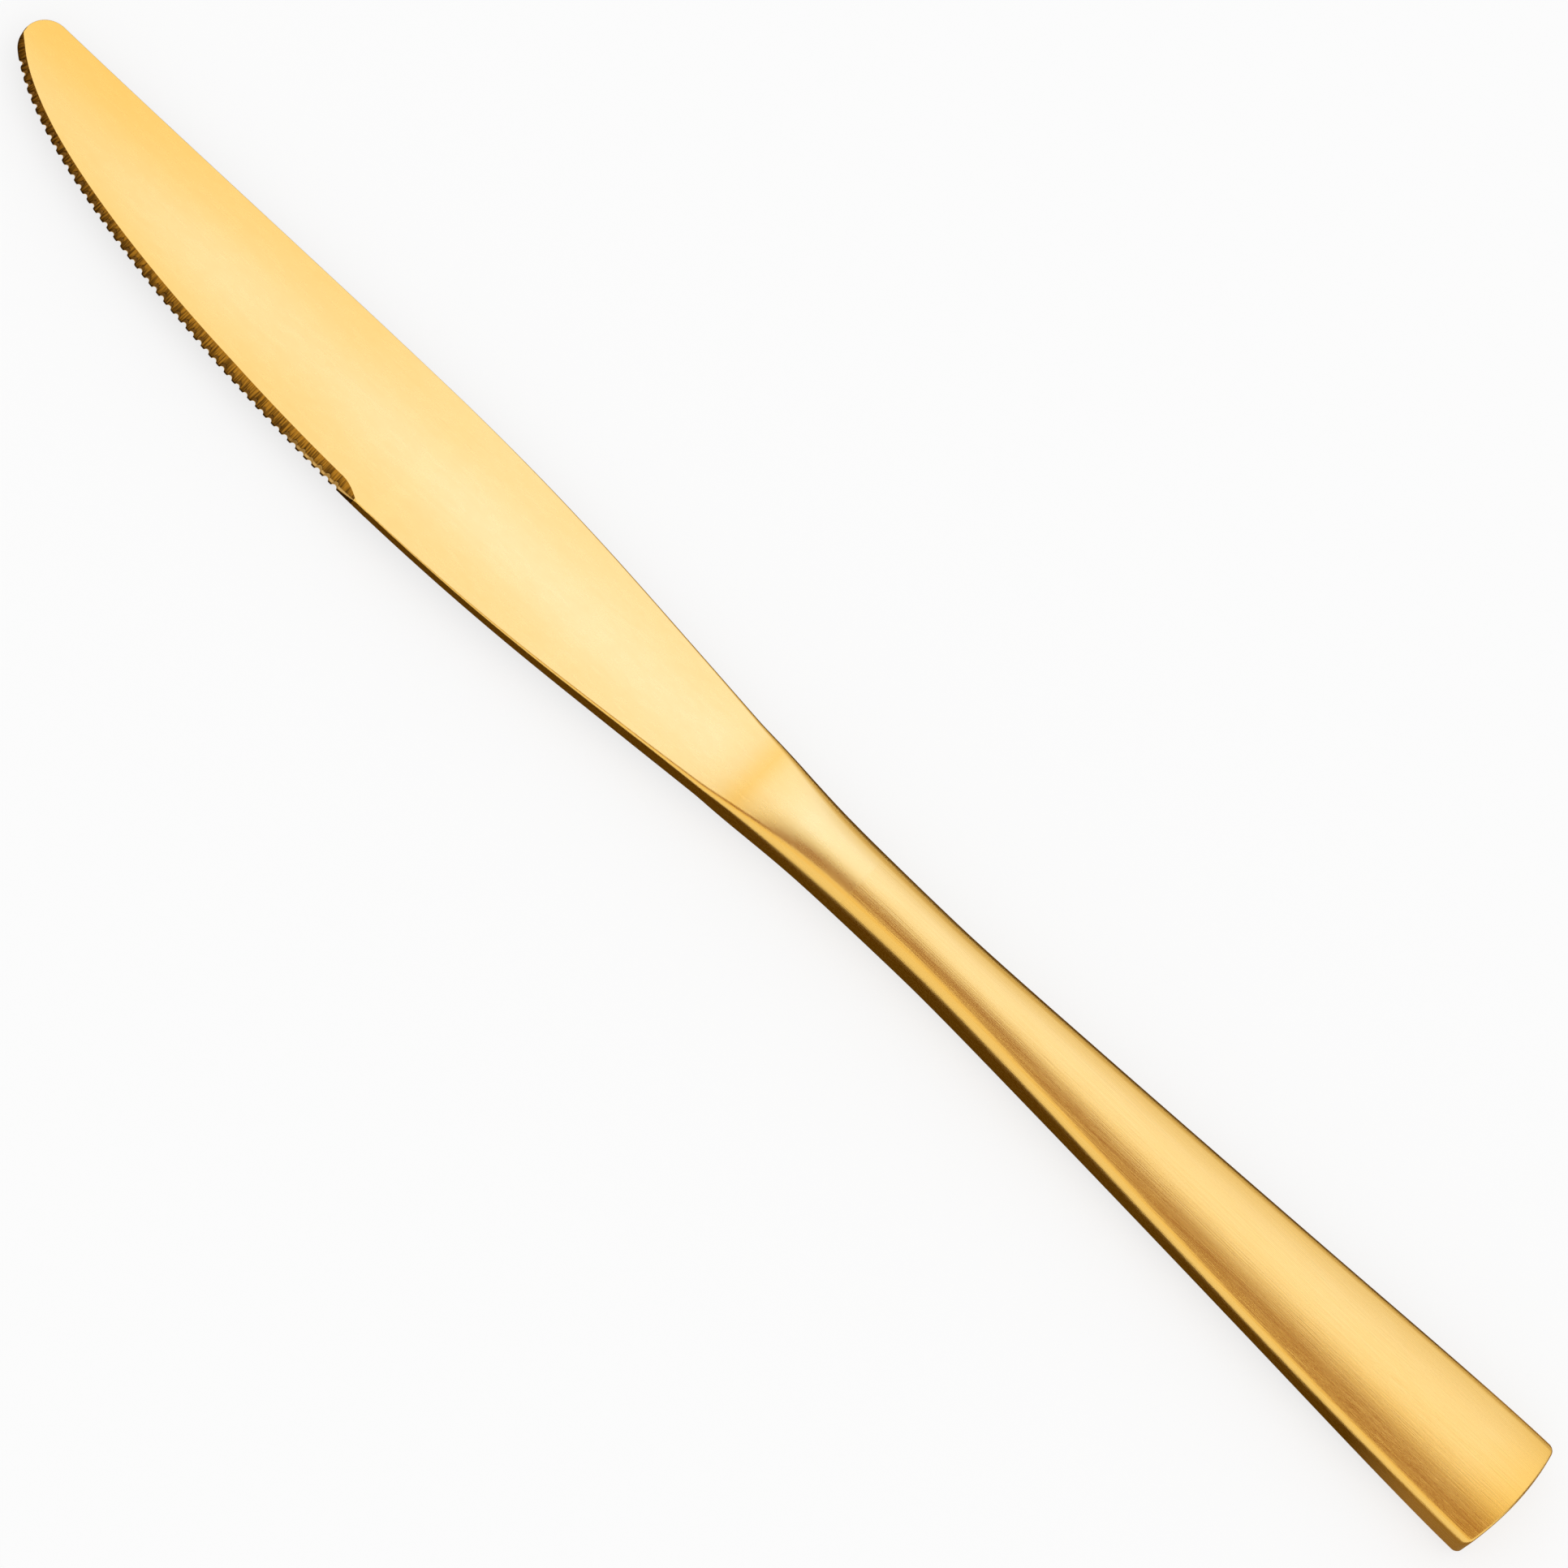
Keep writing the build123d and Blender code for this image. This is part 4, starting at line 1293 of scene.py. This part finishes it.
def pale_surface(name, tone, glow):
    """A matt floor that the camera, metal and glass see partly as even white."""
    material, tree, shader = new_material(name)
    grain = noise(tree, object_place(tree), scale=600.0, detail=2.0, roughness=0.5)
    shade = [value * GRAIN_SHADE for value in tone]
    grained = mixed_colour(tree, grain, solid_colour(tone), solid_colour(shade))
    feed(tree, shader.inputs["Base Color"], grained)
    shader.inputs["Roughness"].default_value = 0.9
    shader.inputs["Specular IOR Level"].default_value = 0.1
    ray = tree.nodes.new("ShaderNodeLightPath").outputs
    seen = math(tree, "MAXIMUM", ray["Is Camera Ray"], ray["Is Glossy Ray"])
    seen = math(tree, "MAXIMUM", seen, ray["Is Transmission Ray"])
    white = add_node(tree, "ShaderNodeEmission", {"Color": (1.0, 1.0, 1.0, 1.0), "Strength": 1.0})
    blend = tree.nodes.new("ShaderNodeMixShader")
    feed(tree, blend.inputs[0], math(tree, "MULTIPLY", seen, glow))
    feed(tree, blend.inputs[1], shader.outputs["BSDF"])
    feed(tree, blend.inputs[2], white.outputs["Emission"])
    output = next(node for node in tree.nodes if node.bl_idname == "ShaderNodeOutputMaterial")
    feed(tree, output.inputs["Surface"], blend.outputs["Shader"])
    return material


def glowing_surface(name, tone, axis=None, low=0.0, high=0.0, high_tone=None):
    """A card that glows in one tone, or changes from it to another between two places on an axis."""
    material = bpy.data.materials.new(name)
    material.use_nodes = True
    tree = material.node_tree
    tree.nodes.clear()
    shown = solid_colour(tone)
    if axis:
        part = ranged(tree, apart(tree, object_place(tree))[axis], low, high)
        shown = mixed_colour(tree, part, shown, solid_colour(high_tone))
    glow = add_node(tree, "ShaderNodeEmission", {"Color": shown, "Strength": 1.0})
    output = tree.nodes.new("ShaderNodeOutputMaterial")
    tree.links.new(glow.outputs["Emission"], output.inputs["Surface"])
    return material


def stage_sheet(name, corners, material):
    """A flat sheet of the stage."""
    mesh = bpy.data.meshes.new(name)
    mesh.from_pydata(corners, [], [(0, 1, 2, 3)])
    sheet = bpy.data.objects.new(name, mesh)
    bpy.context.scene.collection.objects.link(sheet)
    mesh.materials.append(material)
    return sheet


def painted_reflection_card(name, corners, material):
    """A glowing card that only the metal sees, as a painted reflection: it lights nothing and casts no
    shadow.
    """
    card = stage_sheet(name, corners, material)
    card.visible_camera = False
    card.visible_shadow = False
    card.visible_diffuse = False


def level_rectangle(low_x, low_y, high_x, high_y, height):
    """Corners of a level sheet."""
    ring = ((low_x, low_y), (high_x, low_y), (high_x, high_y), (low_x, high_y))
    return [(x, y, height) for x, y in ring]


FLOOR_REACH = 3.0
CARD_REACH = 0.5
# Each long card's distance from the knife, and the two angles between which it stands, counted from
# upright towards the edge's side. Each is a painted reflection.
CAMERA_SIDE_CARD = (0.6, radians(1), radians(24))
WARM_CARD = (0.65, radians(-9), radians(40))
FAR_SIDE_CARD = (0.6, radians(-56), radians(-90))
# The upright card beyond the butt, painted shade that the metal mirrors: its place along the knife, its two
# sides and its top.
BUTT_CARD_PLACE = 0.6
BUTT_CARD_SIDES = (0.12, 0.42)
BUTT_CARD_TOP = 0.55
# The card on the floor, painted shade that the metal mirrors beside and under it: how far it reaches past
# the knife, how far it lies above the floor, and how far before the butt its tone starts to lift and has
# lifted.
UNDER_CARD_MARGIN = 0.04
UNDER_CARD_LIFT = 0.00002
UNDER_CARD_FADE = (0.018, 0.008)

# Tones of the painted reflections: brown on the camera's side, warm beside it, dim to pale far off, and
# painted shade past the butt and under the knife, lifting near the butt
BROWN = (0.27, 0.085, 0.0)
WARM = (0.96, 0.84, 0.50)
FAR_FOOT = (0.42, 0.34, 0.24)
FAR_TOP = (0.95, 0.93, 0.85)
BUTT_SHADE = (0.10, 0.04, 0.005)
UNDER_SHADE = (0.085, 0.045, 0.002)
UNDER_LIFTED = (0.28, 0.19, 0.08)

LAMP_SIZE = 0.9
LAMP_DISTANCE = 1.1
LAMP_LEAN = radians(20)
SENSOR_WIDTH = 36.0


def card_along(distance, first_angle, last_angle):
    """Corners of a card beside the knife, between two angles from upright towards the edge's side."""
    corners = []
    for ends, lean in (((-CARD_REACH, CARD_REACH), first_angle), ((CARD_REACH, -CARD_REACH), last_angle)):
        corners += [(x, -distance * sin(lean), MIDDLE + distance * cos(lean)) for x in ends]
    return corners


def place_cards():
    """The cards, painted reflections for the metal only: brown before a warm one beside the camera, dim far
    off, and painted shade past the butt and below.
    """
    brown = glowing_surface("Camera side card", BROWN)
    painted_reflection_card("camera_side_card", card_along(*CAMERA_SIDE_CARD), brown)
    painted_reflection_card("warm_card", card_along(*WARM_CARD), glowing_surface("Warm card", WARM))
    far = card_along(*FAR_SIDE_CARD)
    top = max(corner[2] for corner in far)
    dim = glowing_surface("Far side card", FAR_FOOT, "Z", 0.0, top, FAR_TOP)
    painted_reflection_card("far_side_card", far, dim)
    near, away = BUTT_CARD_SIDES
    upright = [(near, 0.0), (away, 0.0), (away, BUTT_CARD_TOP), (near, BUTT_CARD_TOP)]
    beyond = [(BUTT_CARD_PLACE, y, z) for y, z in upright]
    painted_reflection_card("butt_card", beyond, glowing_surface("Butt card", BUTT_SHADE))
    margin = UNDER_CARD_MARGIN
    below = level_rectangle(
        LOW.x - margin, LOW.y - margin, HIGH.x + margin, HIGH.y + margin, LOW.z + UNDER_CARD_LIFT
    )
    start, end = (HIGH.x - distance for distance in UNDER_CARD_FADE)
    shade = glowing_surface("Under card", UNDER_SHADE, "X", start, end, UNDER_LIFTED)
    painted_reflection_card("under_card", below, shade)


def light_stage(scene, stage):
    """White surroundings, and a soft lamp overhead that leans towards the spine's side."""
    world = bpy.data.worlds.new("Studio")
    scene.world = world
    world.use_nodes = True
    background = world.node_tree.nodes["Background"]
    background.inputs["Color"].default_value = (1.0, 1.0, 1.0, 1.0)
    background.inputs["Strength"].default_value = stage.world_level
    lamp = bpy.data.lights.new("overhead", "AREA")
    lamp.shape = "SQUARE"
    lamp.size = LAMP_SIZE
    lamp.energy = stage.lamp_level * pi * LAMP_SIZE**2
    overhead = bpy.data.objects.new("overhead", lamp)
    overhead.location = (0.0, LAMP_DISTANCE * sin(LAMP_LEAN), LAMP_DISTANCE * cos(LAMP_LEAN))
    overhead.rotation_euler = (-LAMP_LEAN, 0.0, 0.0)
    overhead.visible_camera = False
    scene.collection.objects.link(overhead)


def set_camera(scene, stage):
    """The camera, whose picture shows the knife's axis running down to the right."""
    camera = bpy.data.cameras.new("camera")
    camera.sensor_width = SENSOR_WIDTH
    camera.lens = SENSOR_WIDTH * stage.camera_distance / stage.frame_width
    camera.clip_end = 10.0
    eye = bpy.data.objects.new("camera", camera)
    elevation, slope = stage.camera_elevation, stage.knife_slope
    back = Vector((0.0, -cos(elevation), sin(elevation)))
    level_up = Vector((0.0, sin(elevation), cos(elevation)))
    along = Vector((1, 0, 0))
    right = along * cos(slope) + level_up * sin(slope)
    up = level_up * cos(slope) - along * sin(slope)
    placed = Matrix((right, up, back)).transposed().to_4x4()
    placed.translation = Vector((stage.aim_x, stage.aim_y, MIDDLE)) + back * stage.camera_distance
    eye.matrix_world = placed
    scene.collection.objects.link(eye)
    scene.camera = eye


class KNIFE_OT_stage(bpy.types.Operator):
    """Build the floor, the lamp, the cards that the metal mirrors as painted reflections and the camera"""

    bl_idname = "knife.stage"
    bl_label = "Stage"

    def execute(self, context):
        scene = context.scene
        stage = scene.knife_stage
        square = level_rectangle(-FLOOR_REACH, -FLOOR_REACH, FLOOR_REACH, FLOOR_REACH, LOW.z)
        stage_sheet("floor", square, pale_surface("Pale floor", stage.floor_colour, stage.floor_glow))
        place_cards()
        light_stage(scene, stage)
        set_camera(scene, stage)
        scene.view_settings.view_transform = "Standard"
        return {"FINISHED"}


# ---------------------------------------------------------------- sidebar and running


class KNIFE_PT_sidebar(bpy.types.Panel):
    """Lists the knife's pieces and its sizes"""

    bl_label = "Table Knife"
    bl_idname = "KNIFE_PT_sidebar"
    bl_space_type = "VIEW_3D"
    bl_region_type = "UI"
    bl_category = "Table Knife"

    def draw(self, context):
        layout = self.layout
        for operator in BUILD_ORDER:
            layout.operator(operator.bl_idname)
        for name, group in GROUPS.items():
            box = layout.box()
            box.label(text=group.__doc__.split(".")[0])
            for field in group.__annotations__:
                box.prop(getattr(context.scene, name), field)


GROUPS = {
    "knife_outline": KnifeOutline,
    "knife_thickness": KnifeThickness,
    "knife_edge": KnifeEdge,
    "knife_inside": KnifeInside,
    "knife_finish": KnifeFinish,
    "knife_stage": KnifeStage,
}
BUILD_ORDER = (KNIFE_OT_stage, KNIFE_OT_blade, KNIFE_OT_handle, KNIFE_OT_solder, KNIFE_OT_filler)


def register():
    """Registers the classes and hangs the sizes on the scene."""
    for group in GROUPS.values():
        bpy.utils.register_class(group)
    for operator in BUILD_ORDER:
        bpy.utils.register_class(operator)
    bpy.utils.register_class(KNIFE_PT_sidebar)
    for name, group in GROUPS.items():
        setattr(bpy.types.Scene, name, PointerProperty(type=group))


def unregister():
    """Takes everything off again."""
    for name in GROUPS:
        delattr(bpy.types.Scene, name)
    bpy.utils.unregister_class(KNIFE_PT_sidebar)
    for operator in reversed(BUILD_ORDER):
        bpy.utils.unregister_class(operator)
    for group in reversed(GROUPS.values()):
        bpy.utils.unregister_class(group)


def main():
    """Builds the whole knife."""
    register()
    bpy.ops.knife.stage()
    bpy.ops.knife.blade()
    bpy.ops.knife.handle()
    bpy.ops.knife.solder()
    bpy.ops.knife.filler()


if __name__ == "__main__":
    main()
